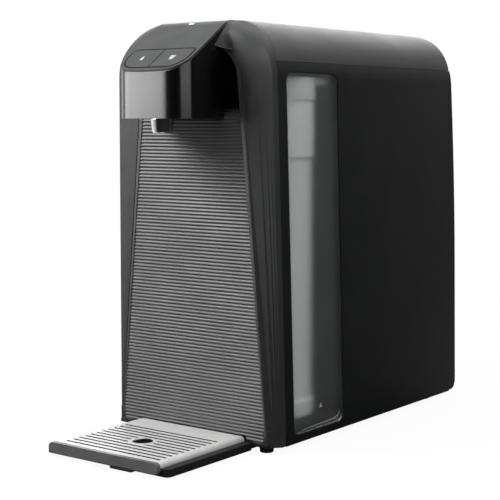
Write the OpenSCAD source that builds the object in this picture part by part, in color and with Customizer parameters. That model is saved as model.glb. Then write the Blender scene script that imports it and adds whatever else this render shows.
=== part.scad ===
// Slim countertop water purifier with a ribbed front panel, a sloped control
// head, a smoked filter door and a sliding drip tray.
// Millimetres. +X right, +Y back, +Z up. The front panel's face is the plane
// y = 0 of the working frame, and placed() moves it so that the origin is the
// centre of the footprint, on the surface that the feet stand on.

/* [Body] */
// Width of the body across its base
body_w = 204; // [190:1:236]
// Depth from the front panel's face to the rear face
body_d = 348.5; // [338:0.5:396]
// Height of the body above its feet
body_h = 399; // [390:1:420]
// Height of the feet
feet_h = 6; // [5:0.5:9]
// Inward draft of each side wall, in degrees
side_draft = 1.1; // [0.6:0.1:1.4]
// Forward lean of the front edges and of the filter door, in degrees
front_lean = 1; // [0.6:0.1:1.3]
// Radius of the body's two top corners
top_corner_r = 53; // [48:1:56]
// Radius of the top cover's two upper corners at its rear
rear_corner_r = 47; // [40:1:52]
// Radius of the top cover's rear edge
rear_top_r = 10; // [7:0.5:14]
// Depth of the rear cover
rear_depth = 14; // [13:0.5:18]
// Radius of the rear cover's lower edge
rear_foot_r = 12; // [8:0.5:13]
// How far the rear face falls forward up to the top cover
rear_set = 9; // [5:0.5:10]
// Height of the top cover
cover_h = 39; // [36:1:44]
// Thickness of the moulded walls
wall = 2.5; // [2:0.1:3]
// Clearance between neighbouring pieces
gap = 0.3; // [0.2:0.05:0.4]

/* [Front] */
// Distance from the panel's foot to each side of the body
panel_foot_margin = 11; // [9:0.5:14]
// Distance from the panel's crown to each side of the body's base
panel_crown_margin = 43.5; // [40:0.5:47]
// Width of the plain rim round the panel's ribs
panel_rim_w = 4; // [3:0.25:6]
// Radius of the panel's two upper corners
panel_crown_r = 32; // [26:1:36]
// Radius of the panel's two lower corners
panel_foot_r = 8; // [6:0.5:11]
// Distance from the panel's crown up to the top of the body
panel_crown_drop = 22; // [20:1:24]
// Thickness of the panel over its ribs
panel_t = 4; // [3.6:0.1:5]
// Spacing of the panel's ribs
rib_pitch = 3.4; // [3:0.1:8]
// Height of the panel's ribs
rib_depth = 0.9; // [0.6:0.1:1.6]
// Distance of the front edges behind the panel's face, at the base
corner_setback = 9.5; // [8.5:0.1:11]
// Depth of the bezel behind the front edges
bezel_wrap = 7.2; // [6.5:0.1:9]
// How far the bezel stands in front of the ribs
bezel_proud = 0.8; // [0.4:0.1:1.2]
// How far the bezel's crown falls back from the line of the front edges
crown_set = 12.5; // [10:0.5:14]

/* [Head] */
// Width of the head
head_w = 83; // [78:1:90]
// How far the head stands out from the panel
head_reach = 64; // [58:1:70]
// Bow of the head's front face
head_bow = 3; // [2:0.5:4]
// Radius of the head's front corners
head_corner_r = 20; // [16:1:22]
// Distance from the head's underside up to the top of the body
head_drop = 92; // [88:1:98]
// Slope of the control plate, in degrees
plate_slope = 34.5; // [33:0.5:36]
// Radius of the bend at the upper end of the control plate
plate_bend_r = 25; // [22:1:28]
// Thickness of the control plate
plate_skin = 1.6; // [1.4:0.1:2.2]
// Distance from the buttons to each side of the head
buttons_margin = 5; // [4:0.25:8]
// Length of a button along the slope
button_l = 29; // [26:1:30]
// Travel of a button
button_travel = 1; // [0.6:0.1:1.2]
// Diameter of the nozzle at the head
nozzle_d = 22; // [20:0.5:24]
// Diameter of the nozzle's tip
nozzle_tip_d = 19; // [17:0.5:19.5]
// How far the nozzle hangs below the head
nozzle_drop = 13; // [10:0.5:16]
// Distance of the nozzle in front of the panel
nozzle_reach = 40; // [36:1:42]

/* [Filter door] */
// Width of the door
door_w = 86; // [80:1:88]
// Distance from the door's upper edge to the top cover
door_top_gap = 9.5; // [8.5:0.5:14]
// Height of the door above the body's bottom edge
door_sill = 7.5; // [6.5:0.5:9]
// Distance of the door behind the bezel
door_setback = 13.4; // [12:0.1:15]
// Radius of the door's corners
door_r = 9; // [7:0.5:11]
// Thickness of the door
door_t = 2.2; // [1.8:0.1:2.6]
// How far the door lies below the side's face
door_sunk = 0.8; // [0.5:0.1:1]

/* [Drip tray] */
// Distance from the tray to each side of the body
tray_margin = 27; // [26:0.5:31]
// How far the tray stands out from the panel
tray_reach = 127; // [120:1:135]
// Distance from the grille plate to each side of the tray
grille_margin = 9.3; // [8:0.1:10.5]
// Height of the grille plate's top above the table
grille_z = 14; // [13.5:0.25:14.5]
// Number of slots in the grille plate
slot_count = 11; // [7:1:11]
// Width of a slot
slot_w = 3; // [2:0.25:3.75]
// Spacing of the slots
slot_pitch = 8; // [7:0.25:8.25]
// Diameter of the finger hole
finger_d = 20; // [16:1:24]
// How far the tray slides in under the body
tray_travel = 95; // [80:1:96]

/* [Inside] */
// Clearance between the two filter cartridges
cartridge_space = 6; // [4:0.5:8]
// Diameter of a cartridge's neck
neck_d = 38; // [32:1:40]
// Depth of the bay between the inner frame and the tank
works_d = 65; // [63:1:72]
// Clearance between the tank and each side wall
tank_side_gap = 4.8; // [3.5:0.1:8]
// Clearance between the tank and the rear cover's seam
tank_rear_gap = 10; // [9:0.5:14]
// Outer diameter of the hoses
hose_d = 8; // [6:0.5:9]

/* [Hidden] */

// Main levels and planes
z_top = feet_h + body_h;
seam_z = z_top - cover_h;
y_shift = -(body_d - tray_reach) / 2;
rear_seam_y = body_d - rear_depth;
rear_edge_r = 2;
rear_from = feet_h + 0.36 * body_h;
rear_steps = 8;
corner_steps = 12;
far = 300;

// Bezel
bezel_lip = 1.2;
bezel_front_t = 3.2;
bezel_ledge = 5;
bezel_foot_ledge = -3.2;
bezel_edge_soft = 1.2;
bezel_foot_r = 16;
bezel_z = feet_h + gap;
bezel_sill = 3.5;
bezel_in_z = -10;
bezel_in_sill = 16;
crown_round = 3.5;
crown_power = 1.3;
bezel_end = corner_setback + bezel_wrap + crown_set;
panel_foot_w = body_w - 2 * panel_foot_margin;
panel_crown_w = body_w - 2 * panel_crown_margin;
panel_foot_z = feet_h + 4;
tray_door_z = grille_z + 1;
panel_crown_z = z_top - panel_crown_drop;
panel_h = panel_crown_z - panel_foot_z;
panel_flange = 2;
flange_from = panel_foot_z + 0.66 * panel_h;
flange_to = panel_foot_z + 0.9 * panel_h;
rim_proud = 0.3;
rim_foot_w = 1.6;
rib_steps = 4;

// Filter door and the ledge that it lies on
door_h = seam_z - door_top_gap - feet_h - door_sill;
ledge_w = 4;
ledge_t = 1.8;
door_back = door_sunk + door_t;
ledge_in = door_back + gap + ledge_t;

// Head and control plate
head_under = z_top - head_drop;
duct_w = 40;
duct_z0 = head_under + 17;
duct_h = 35;
duct_back = 16;
plate_back = seam_y(z_top) - gap;
plate_top_l = 8.3;
bend_at = [plate_back - plate_top_l, z_top - plate_bend_r];
wing_z = panel_crown_z + bezel_lip + gap;
bend_end = bend_at + plate_bend_r * [-sin(plate_slope), cos(plate_slope)];
plate_front_margin = 6;
button_foot = (head_reach + bend_end.x) / cos(plate_slope) - plate_front_margin;
button_head = button_foot - button_l;
buttons_w = head_w - 2 * buttons_margin;
button_gap = 1.2;
button_split = 0.65;
button_outer_r = 17;
button_flange = 1.9;
button_t = 3.8;
button_proud = 0.2;
board_depth = 9.6;
board_t = 1.6;
board_w = buttons_w - 10;
board_head = 15;
board_l = button_foot - board_head - 6;
switch_h = 2;
switch_w = 6;
switch_slack = 0.1;
post_d = 6;
post_rows = [board_head + 4, button_head - 6];
lens_l = 6;
lens_d = 2.4;
lens_tilt = 25;
nozzle_z = head_under - nozzle_drop;
nozzle_bore_d = 14;

// Drip tray and its runners
tray_w = body_w - 2 * tray_margin;
grille_w = tray_w - 2 * grille_margin;
tray_z = 2.4;
tray_corner_r = 5;
tray_bar_h = 9.8;
tray_rim_z = grille_z - 4.4;
tray_ledge_z = grille_z - 5.2;
tray_floor = 1.6;
tray_back = 2;
tray_bar_t = 4.8;
tray_well_margin = 15;
tray_well_w = tray_w - 2 * tray_well_margin;
tray_rail_l = 58;
tray_arm_w = 9.5;
runner_w = 3.2;
runner_z = 7.5;
runner_t = 2.5;
runner_front = 28;
roll_r = 4;
sheet_t = 1.2;
slot_margin = 8;
slot_front = 8;
finger_y = 56;
nub = 0.6;
nub_y = 32;

// Base and the tunnel that takes the tray
base_front = corner_setback + bezel_wrap + 1.5;
base_toe_y = 7;
toe_inset = 21;
toe_x = body_w / 2 - toe_inset;
toe_w = 8;
base_rim_z = 24;
base_floor_t = 3;
tunnel_w = tray_w + 4 * gap + 0.2;
tunnel_z = grille_z + 3;
tunnel_end = runner_front + (tray_rail_l - runner_front) + tray_travel + 7;
tunnel_groove_w = tunnel_w + 2 * runner_w - 0.2;
tunnel_roof_z = tunnel_z + wall;
base_half_w = side_x(base_rim_z) - ledge_in - gap;
foot_d = 14;
foot_inset = 18;
foot_x = body_w / 2 - foot_inset;
foot_front_y = 10;
foot_rear_inset = 27;
foot_rear_y = rear_seam_y - foot_rear_inset;

// Inside
frame_y = corner_setback + bezel_wrap + door_setback + door_w + ledge_w + gap;
frame_t = 3;
frame_clear = 1;
frame_foot_w = base_half_w - wall - gap;
frame_shoulder_z = seam_z - 8;
frame_shoulder = 3;
frame_chamfer = 4;
frame_top_z = seam_z + 6;
cartridge_y = 65;
cartridge_z = tunnel_roof_z + 4.5;
cartridge_drop = 64;
cartridge_top = z_top - cartridge_drop;
cap_step = 2;
cap_h = 66;
neck_h = 24;
lug_t = 3;
lug_out = 3;
lug_z = cartridge_top + 14;
lug_angle = 40;
manifold_z = cartridge_top + 5;
manifold_h = 28;
manifold_wall = 4;
port_d = hose_d - 2.8;
port_h = 8;
dispense_w = 24;
dispense_d = 26;
dispense_h = 18;
dispense_z = manifold_z + 12;
dispense_port_l = 10;
dispense_clear = 7;
dispense_space = 10;
coil_h = 18;
coil_inset = 2;
dispense_x = -side_x(dispense_z) + wall + dispense_clear + dispense_w / 2;
dispense_y = frame_y - dispense_d / 2;
filter_right = side_x(cartridge_top) - ledge_in - gap;
filter_left = dispense_x + dispense_w / 2 + dispense_space;
cap_d = (filter_right - filter_left - cartridge_space) / 2;
cartridge_d = cap_d - 2 * cap_step;
cartridge_x = [filter_right - cap_d / 2, filter_left + cap_d / 2];
tank_z = base_rim_z;
tank_drop = 14;
tank_top = seam_z - tank_drop;
tank_back = rear_seam_y - tank_rear_gap;
tank_front = frame_y + frame_t + works_d;
tank_w = 2 * (side_x(tank_top) - wall - tank_side_gap);
tank_r = 14;
tank_wall = 2.5;
tank_floor = 3;
valve_d = 28;
valve_h = 8;
valve_y = tank_front + 26;
valve_neck_d = 20;
dock_d = valve_d + 2 * gap + 6;
dock_port_z = feet_h + 8;
pump_w = 58;
pump_inset = 24;
pump_x = -body_w / 2 + pump_inset + pump_w / 2;
pump_h = 46;
pump_z = 50;
motor_d = 46;
motor_h = 72;
bracket_t = 2;
supply_clear = 8;
supply_x = hose_d / 2 + supply_clear;
supply_w = 66;
supply_h = 120;
supply_d = 42;
supply_z = 60;
inlet_inset = 46;
inlet_x = -body_w / 2 + inlet_inset;
inlet_z = 42;
inlet_w = 27;
inlet_h = 20;
inlet_d = 13;
screw_inset = 21.5;
screw_x = body_w / 2 - screw_inset;
screw_low_z = 44;
screw_drop = 34;
screw_zs = [screw_low_z, seam_z - screw_drop];
screw_d = 3;
screw_head_d = 6.4;
screw_sunk = 1.3;
boss_w = 11;
boss_l = 8;
vent_count = 12;
vent_pitch = 8;
vent_w = 3.2;
vent_l = 88;
vent_drop = 176;
vent_z = seam_z - vent_drop;

module placed() translate([0, y_shift, 0]) children();

// Round the corners of a polygon: one radius for each corner
function unit(v) = v / norm(v);
function turn(a, b) = let (d = b - a) d > 180 ? d - 360 : d < -180 ? d + 360 : d;
function fillet(a, b, c, r, n) =
    r <= 0 ? [b] :
    let (u = unit(a - b),
         v = unit(c - b),
         half = acos(u * v) / 2,
         o = b + unit(u + v) * r / sin(half),
         p = b + u * r / tan(half) - o,
         q = b + v * r / tan(half) - o,
         from = atan2(p.y, p.x),
         sweep = turn(from, atan2(q.y, q.x)))
    [for (i = [0:n]) o + r * [cos(from + sweep * i / n), sin(from + sweep * i / n)]];
function rounded(pts, radii, n = 8) =
    let (m = len(pts))
    [for (i = [0:m - 1]) each fillet(pts[(i + m - 1) % m], pts[i], pts[(i + 1) % m], radii[i], n)];
function box_pts(x0, y0, x1, y1) = [[x0, y0], [x1, y0], [x1, y1], [x0, y1]];

// Stand a front view (x, z) between two depths, or a side view (y, z) between two widths
module along_y(y0, y1) translate([0, y1, 0]) rotate([90, 0, 0]) linear_extrude(y1 - y0) children();
module along_x(x0, x1) translate([x0, 0, 0]) rotate([90, 0, 90]) linear_extrude(x1 - x0) children();
module block(x0, x1, y0, y1, z0, z1) translate([x0, y0, z0]) cube([x1 - x0, y1 - y0, z1 - z0]);

// The body's section: half its width at a height, and the shift of its front edges there
function side_x(z) = body_w / 2 - (z - feet_h) * tan(side_draft);
function crown(z) = crown_set * pow(max(0, z - seam_z) / cover_h, crown_power);
function lean(z) = crown(z) - (z - feet_h) * tan(front_lean);
function seam_y(z) = corner_setback + bezel_wrap + lean(z);

// Front view of the body, inset by a wall
function shell_pts(inset = 0, bottom = feet_h, foot_r = 0) =
    let (t = z_top - inset,
         wb = side_x(bottom) - inset,
         wt = side_x(t) - inset,
         r = top_corner_r - inset)
    rounded([[-wb, bottom], [wb, bottom], [wt, t], [-wt, t]], [foot_r, foot_r, r, r], corner_steps);

// Front view of the ribbed panel, grown all round, or by other margins at its foot and crown
function panel_pts(grow = 0, foot_grow = undef, crown_grow = undef, sill = undef) =
    let (zf = panel_foot_z - (sill == undef ? grow : sill),
         wf = panel_foot_w / 2 + (foot_grow == undef ? grow : foot_grow),
         wc = panel_crown_w / 2 + grow,
         zc = panel_crown_z + (crown_grow == undef ? grow : crown_grow))
    rounded([[-wf, zf], [wf, zf], [wc, zc], [-wc, zc]],
            [panel_foot_r + grow, panel_foot_r + grow, panel_crown_r + grow, panel_crown_r + grow],
            corner_steps);

// Skin a solid over rings that have the same number of points
function front_ring(y, pts) = [for (p = pts) [p.x, y, p.y]];
function leaning_ring(y, pts) = [for (p = pts) [p.x, y + lean(p.y), p.y]];
function level_ring(z, pts) = [for (p = pts) [p.x, p.y, z]];
function reversed(f) = [for (j = [len(f) - 1:-1:0]) f[j]];
module loft(rings, flip = false) {
    n = len(rings[0]);
    m = len(rings);
    sides = [for (i = [0:m - 2], k = [0:n - 1])
        each [[i * n + k, (i + 1) * n + k, i * n + (k + 1) % n],
              [i * n + (k + 1) % n, (i + 1) * n + k, (i + 1) * n + (k + 1) % n]]];
    ends = [[for (k = [0:n - 1]) k], [for (k = [n - 1:-1:0]) (m - 1) * n + k]];
    faces = concat(sides, ends);
    polyhedron([for (r = rings) each r], flip ? [for (f = faces) reversed(f)] : faces);
}

// Front bezel: an arch whose faces fall back from the panel to the leaning front edges
function between(a, b, u) =
    [for (i = [0:len(a) - 1])
        let (g = pow(u, 1 + crown_round * crown(b[i].z) / crown_set))
        [a[i].x + (b[i].x - a[i].x) * u, a[i].y + (b[i].y - a[i].y) * g, a[i].z + (b[i].z - a[i].z) * u]];
module bezel_outside() {
    inner = front_ring(-bezel_proud, panel_pts(bezel_lip, undef, undef, bezel_sill));
    outer = leaning_ring(corner_setback, shell_pts(bezel_edge_soft, bezel_z, bezel_foot_r));
    loft([inner,
          between(inner, outer, 0.5),
          between(inner, outer, 0.75),
          between(inner, outer, 0.9),
          outer,
          leaning_ring(corner_setback + 0.8, shell_pts(0.4, bezel_z, bezel_foot_r)),
          leaning_ring(corner_setback + 2, shell_pts(0, bezel_z, bezel_foot_r)),
          leaning_ring(bezel_end, shell_pts(0, bezel_z, bezel_foot_r))], true);
}

module bezel_inside()
    loft([front_ring(bezel_front_t - bezel_proud,
                     panel_pts(bezel_ledge, bezel_foot_ledge, bezel_lip, bezel_in_sill)),
          leaning_ring(corner_setback + 1.5, shell_pts(wall + 2, bezel_in_z, 1)),
          leaning_ring(corner_setback + 4, shell_pts(wall, bezel_in_z, 1)),
          leaning_ring(bezel_end + 1, shell_pts(wall, bezel_in_z, 1))], true);

// Side view of all that lies behind the bezel's seam
function behind_seam_pts() =
    concat([[seam_y(-far), -far]], [for (i = [0:corner_steps]) seam_at(seam_z + cover_h * i / corner_steps)],
           [seam_at(z_top + 1), [far, z_top + 1], [far, -far]]);
function seam_at(z) = [seam_y(z), z];

module front_bezel() color("#3a3b3b") placed()
    difference() {
        bezel_outside();
        bezel_inside();
        along_y(-far, bezel_front_t + 1) polygon(panel_pts(gap));
        block(-tunnel_w / 2, tunnel_w / 2, -far, far, 0, tray_door_z);
        along_x(-head_w / 2 - gap, head_w / 2 + gap) polygon(above_wing_pts(0));
        along_x(-far, far) polygon(behind_seam_pts());
        translate([0, 0, head_under]) linear_extrude(far) polygon(head_plan(-gap, 0));
    }

// Ribbed panel: half-round ribs across a tapered plate, with a flange behind the bezel
module rib_profile() {
    ribs = ceil((panel_crown_z - panel_foot_z) / rib_pitch);
    front = [for (i = [0:ribs * rib_steps])
        [rib_depth * (1 - abs(sin(180 * i / rib_steps))), panel_foot_z + i * rib_pitch / rib_steps]];
    polygon(concat(front, [[panel_t, panel_foot_z + ribs * rib_pitch], [panel_t, panel_foot_z]]));
}

module front_panel() color("#6b6c6a") placed()
    difference() {
        union() {
            intersection() {
                along_x(-far, far) rib_profile();
                along_y(-far, far)
                    polygon(panel_pts(-panel_rim_w / 2, -rim_foot_w / 2, undef, -rim_foot_w / 2));
            }
            along_y(-rim_proud, panel_t)
                difference() {
                    polygon(panel_pts());
                    polygon(panel_pts(-panel_rim_w, -rim_foot_w, undef, -rim_foot_w));
                }
            intersection() {
                along_y(bezel_front_t - bezel_proud + gap, panel_t) polygon(panel_pts(panel_flange));
                block(-far, far, 0, far, flange_from, flange_to);
            }
        }
        block(-duct_w / 2 - gap, duct_w / 2 + gap, -far, far, duct_z0 - gap, duct_z0 + duct_h + gap);
        block(-tunnel_w / 2, tunnel_w / 2, -far, far, 0, tray_door_z);
    }

// Side walls: a drafted wall from the bezel to the rear cover
module side_section(outer, inner)
    difference() {
        polygon(shell_pts(outer));
        polygon(shell_pts(inner, 0));
    }

module side_view()
    polygon([[seam_y(feet_h) + gap, feet_h], [rear_seam_y - gap, feet_h],
             [rear_seam_y - gap, seam_z - gap], [seam_y(seam_z) + gap, seam_z - gap]]);

module side_wall()
    union() {
        intersection() {
            along_y(0, body_d) side_section(0, wall);
            along_x(0, far) side_view();
        }
        for (z = screw_zs) screw_boss(z);
    }

// Boss that takes a rear screw, moulded on the inside of a side wall
module screw_boss(z)
    difference() {
        intersection() {
            block(screw_x - boss_w / 2, far, rear_seam_y - gap - boss_l, rear_seam_y - gap, z - boss_w / 2,
                  z + boss_w / 2);
            along_y(0, body_d) polygon(shell_pts(wall / 2));
        }
        translate([screw_x, rear_seam_y, z])
            rotate([90, 0, 0])
                cylinder(d = screw_d + 2 * gap, h = boss_l - 1, $fn = 24);
    }

module left_side_panel() color("#2b2c2c") placed()
    mirror([1, 0, 0]) side_wall();

// The filter door lies in a leaning cut-out, on a ledge that runs round inside it
function door_y(z) = seam_y(z) + door_setback;
function door_pts(grow = 0) =
    let (z0 = feet_h + door_sill - grow,
         z1 = feet_h + door_sill + door_h + grow,
         r = door_r + grow)
    rounded([[door_y(z0) - grow, z0], [door_y(z0) + door_w + grow, z0],
             [door_y(z1) + door_w + grow, z1], [door_y(z1) - grow, z1]], [r, r, r, r], 6);

module door_layer(outer, inner, grow)
    intersection() {
        along_y(0, body_d) side_section(outer, inner);
        along_x(0, far) polygon(door_pts(grow));
    }

module right_side_panel() color("#2b2c2c") placed()
    difference() {
        union() {
            side_wall();
            door_layer(wall - 0.1, ledge_in, ledge_w);
        }
        along_x(side_x(z_top) - top_corner_r, far) polygon(door_pts(-ledge_w));
        door_layer(-1, ledge_in - ledge_t, 0);
    }

module filter_door() color("#4a4d4e") placed()
    door_layer(door_sunk, door_back, -2 * gap);

// Rear cover: a shallow tub with a rolled rim, louvres, screw holes and the inlet's cut-out
function rear_y(z) = body_d - rear_set * pow(max(0, z - rear_from) / (seam_z - rear_from), 2);
function rear_profile(inset) =
    let (r = rear_foot_r - inset)
    concat([[-far, feet_h + inset]],
           [for (a = [-90:15:0])
               [body_d - rear_foot_r + r * cos(a), feet_h + rear_foot_r + r * sin(a)]],
           [for (i = [0:rear_steps])
               let (z = rear_from + (z_top - rear_from) * i / rear_steps)
               [rear_y(z) - inset, z]],
           [[-far, z_top]]);
module rear_form(inset)
    intersection() {
        along_y(-inset, body_d + 1) polygon(shell_pts(inset, feet_h + inset, 3));
        along_x(-far, far) polygon(rear_profile(inset));
    }

module rear_cover() color("#2b2c2c") placed()
    difference() {
        rear_form(0);
        rear_form(wall);
        block(-far, far, -far, rear_seam_y, 0, 2 * far);
        block(-far, far, 0, 2 * far, seam_z - gap, 2 * far);
        for (i = [0:vent_count - 1])
            block(-vent_l / 2, vent_l / 2, rear_seam_y, 2 * far, vent_z + i * vent_pitch,
                  vent_z + i * vent_pitch + vent_w);
        block(inlet_x - inlet_w / 2 - gap, inlet_x + inlet_w / 2 + gap, rear_seam_y, 2 * far,
              inlet_z - inlet_h / 2 - gap, inlet_z + inlet_h / 2 + gap);
        for (side = [-1, 1], z = screw_zs)
            translate([side * screw_x, 0, z])
                rotate([-90, 0, 0]) {
                    cylinder(d = screw_d + 2 * gap, h = far * 2, $fn = 24);
                    translate([0, 0, rear_y(z) - screw_sunk])
                        cylinder(d = screw_head_d + 2 * gap, h = far, $fn = 32);
                }
    }

// Top cover: level slices whose sides and rear close in along the body's corner arcs
cover_steps = 12;
function arc_in(z, r, top) = z > top - r ? r - sqrt(max(0, r * r - pow(z - top + r, 2))) : 0;
function arc_x(z, inset, corner = top_corner_r) =
    let (r = corner - inset,
         zc = z_top - corner)
    side_x(zc) - inset - r / cos(side_draft) + sqrt(max(0, r * r - pow(z - zc, 2)));
function rear_x(z, inset) =
    let (step = arc_x(seam_z, inset) - arc_x(seam_z, inset, rear_corner_r))
    arc_x(z, inset, rear_corner_r) + step * (1 - max(0, z - seam_z) / cover_h);
function cover_plan(z, inset) =
    let (w = arc_x(z, inset),
         v = rear_x(z, inset),
         front = seam_y(z) + gap - (inset > 0 ? 1 : 0),
         back = rear_y(z) - inset - arc_in(z, rear_top_r - inset, z_top - inset),
         r = max(0.8, rear_edge_r - inset))
    rounded([[-w, front], [w, front], [v, back], [-v, back]], [0, 0, r, r], 6);
module cover_form(inset) {
    r = top_corner_r - inset;
    zc = z_top - top_corner_r;
    low = asin((seam_z - zc - (inset > 0 ? 2 : 1)) / r);
    loft([for (i = [0:cover_steps], z = [zc + r * sin(low + (90 - low) * i / cover_steps)])
        level_ring(z, cover_plan(z, inset))]);
}

skirt_h = door_top_gap - ledge_w - 2 * gap;
skirt_t = 1.6;
skirt_root = 3;
skirt_front = 60;
skirt_back = rear_seam_y - 40;

module cover_skirt()
    along_y(skirt_front, skirt_back)
        union() {
            intersection() {
                side_section(wall + gap, wall + gap + skirt_t);
                translate([0, seam_z - skirt_h]) square([far, skirt_h + skirt_root]);
            }
            intersection() {
                side_section(wall / 2, wall + gap + skirt_t);
                translate([0, seam_z + gap]) square([far, skirt_root]);
            }
        }

module top_cover() color("#3a3b3b") placed()
    union() {
        difference() {
            cover_form(0);
            cover_form(wall);
            block(-far, far, -far, 2 * far, 0, seam_z);
        }
        cover_skirt();
        mirror([1, 0, 0]) cover_skirt();
    }

// Base pan: floor, rim, stiffening ribs, the tray's tunnel and the tank's dock
dock_wall = 3;
dock_h = 14;
base_rib_t = 2.4;
base_rib_xs = base_half_w * [-0.7, -0.35, 0.35, 0.7];

module base_pan() color("#1d1e1e") placed()
    difference() {
        union() {
            block(-base_half_w, base_half_w, base_front, rear_seam_y - gap, feet_h, feet_h + base_floor_t);
            for (side = [-1, 1])
                block(side * toe_x - toe_w / 2, side * toe_x + toe_w / 2, base_toe_y,
                      base_front + 1, feet_h, feet_h + base_floor_t);
            difference() {
                block(-base_half_w, base_half_w, base_front, rear_seam_y - gap, feet_h, base_rim_z);
                block(-base_half_w + wall, base_half_w - wall, 0, rear_seam_y - gap - wall, 0,
                      2 * base_rim_z);
            }
            block(-tunnel_groove_w / 2 - wall, tunnel_groove_w / 2 + wall, base_front, tunnel_end + wall,
                  feet_h, tunnel_roof_z);
            for (x = base_rib_xs)
                block(x - base_rib_t / 2, x + base_rib_t / 2, tank_front, rear_seam_y - 1, feet_h, tank_z);
            translate([0, valve_y, feet_h]) cylinder(d = dock_d, h = dock_h, $fn = 48);
        }
        block(-tunnel_w / 2, tunnel_w / 2, -far, tunnel_end, 0, tunnel_z);
        block(-tunnel_groove_w / 2, tunnel_groove_w / 2, base_front + 1, tunnel_end, runner_z - gap,
              runner_z + runner_t + gap);
        translate([0, valve_y, feet_h + base_floor_t])
            cylinder(d = valve_d + 2 * gap, h = far, $fn = 48);
        translate([0, valve_y, dock_port_z])
            rotate([90, 0, 0])
                cylinder(d = hose_d - 3, h = dock_d, $fn = 24);
    }

module rubber_feet() color("#151515") placed()
    for (x = [-foot_x, foot_x], y = [foot_front_y, foot_rear_y])
        translate([x, y, 0])
            rotate_extrude($fn = 40)
                polygon([[0, 0], [foot_d / 2 - 1.5, 0], [foot_d / 2 - 0.5, 0.6], [foot_d / 2, feet_h],
                         [0, feet_h]]);

// Head: the nose's plan, its shell, and the duct that passes through the panel
function head_plan(inset = 0, back = 0) =
    let (w = head_w / 2 - inset,
         f = head_reach - inset,
         r = head_corner_r - inset)
    rounded([[-w, back], [-w, head_bow - f], [0, -f], [w, head_bow - f], [w, back]], [0, r, 250, r, 0]);

// Side view of the control plate: its upper face at a depth below the skin
function plate_upper(depth) =
    let (r = plate_bend_r - depth,
         e = bend_at + r * [-sin(plate_slope), cos(plate_slope)],
         run = 2 * head_reach)
    concat([e - run * [cos(plate_slope), sin(plate_slope)]],
           [for (i = [0:8])
               bend_at + r * [-sin(plate_slope * (1 - i / 8)), cos(plate_slope * (1 - i / 8))]],
           [[seam_y(z_top - depth) - gap, z_top - depth]]);
function above_plate_pts(depth) =
    concat(plate_upper(depth), [[far, z_top - depth], [far, 2 * far], [-far, 2 * far]]);

// Side view of the space above the bezel's crown: the head's sides run back into it under the plate
function above_wing_pts(lift) =
    let (top = z_top - plate_skin - 1 + lift,
         z0 = wing_z + lift)
    [[-far, z0], [0, z0], [top - z0, top], [far, top], [far, 2 * far], [-far, 2 * far]];

module head_shell() color("#0c0c0c") placed()
    union() {
        difference() {
            translate([0, 0, head_under]) linear_extrude(far / 2) polygon(head_plan(0, bend_at.x));
            translate([0, 0, head_under + wall]) linear_extrude(far) polygon(head_plan(wall, far));
            along_x(-far, far) polygon(above_plate_pts(plate_skin + gap / 3));
            along_x(-far, far)
                difference() {
                    translate([-gap, 0]) square(2 * far);
                    polygon(above_wing_pts(gap));
                }
            translate([0, -nozzle_reach, head_under - 1]) cylinder(d = nozzle_d, h = wall + 2, $fn = 48);
        }
        difference() {
            block(-head_w / 2 + wall / 2, head_w / 2 - wall / 2, -wall - gap, -gap, head_under,
                  duct_z0 + duct_h);
            block(-duct_w / 2 + wall, duct_w / 2 - wall, -far, far, duct_z0 + wall, duct_z0 + duct_h - wall);
        }
        difference() {
            block(-duct_w / 2, duct_w / 2, -wall, duct_back, duct_z0, duct_z0 + duct_h);
            block(-duct_w / 2 + wall, duct_w / 2 - wall, -far, far, duct_z0 + wall, duct_z0 + duct_h - wall);
        }
    }

module on_plate() translate([0, bend_end.x, bend_end.y]) rotate([plate_slope, 0, 0]) children();
function button_pts(side, grow = 0) =
    let (inner = side * button_split,
         outer = side * (buttons_w / 2 + grow))
    rounded([[inner, -button_head + grow], [outer, -button_head + grow],
             [outer, -button_foot - grow], [inner, -button_foot - grow]],
            [0.6, 4 + grow, button_outer_r + grow, 0.6]);
function buttons_pts(grow) =
    let (w = buttons_w / 2 + grow,
         r = button_outer_r + grow)
    rounded([[-w, -button_head + grow], [w, -button_head + grow],
             [w, -button_foot - grow], [-w, -button_foot - grow]], [4 + grow, 4 + grow, r, r]);

module control_plate() color("#7b7c7c") placed()
    difference() {
        union() {
            intersection() {
                linear_extrude(2 * far) polygon(head_plan(0, plate_back + wall));
                along_x(-far, far) polygon(concat(plate_upper(0), reversed(plate_upper(plate_skin))));
            }
            on_plate()
                for (side = [-1, 1], row = post_rows)
                    translate([side * (board_w / 2 - 5), -row, -board_depth])
                        cylinder(d = post_d, h = board_depth - plate_skin / 2, $fn = 24);
        }
        on_plate()
            translate([0, 0, -plate_skin - 1])
                linear_extrude(plate_skin + 3)
                    polygon(buttons_pts(button_gap));
        at_lens() lens_form(gap / 2);
    }

// A button: its cap, the flange that keeps it in the plate, and the stem over its switch
module button(side) {
    on_plate()
        union() {
            translate([0, 0, -button_t]) linear_extrude(button_t + button_proud) polygon(button_pts(side));
            translate([0, 0, -button_t])
                linear_extrude(button_t - plate_skin - gap)
                    polygon(button_pts(side, button_flange));
            translate([side * buttons_w / 4, -button_mid, -stem_end])
                cylinder(d = 4, h = stem_end - 1, $fn = 24);
        }
}
button_mid = (button_head + button_foot) / 2;
stem_end = board_depth - switch_h - button_travel - switch_slack;

module left_button() color("#7b7c7c") placed() button(-1);
module right_button() color("#7b7c7c") placed() button(1);

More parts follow.
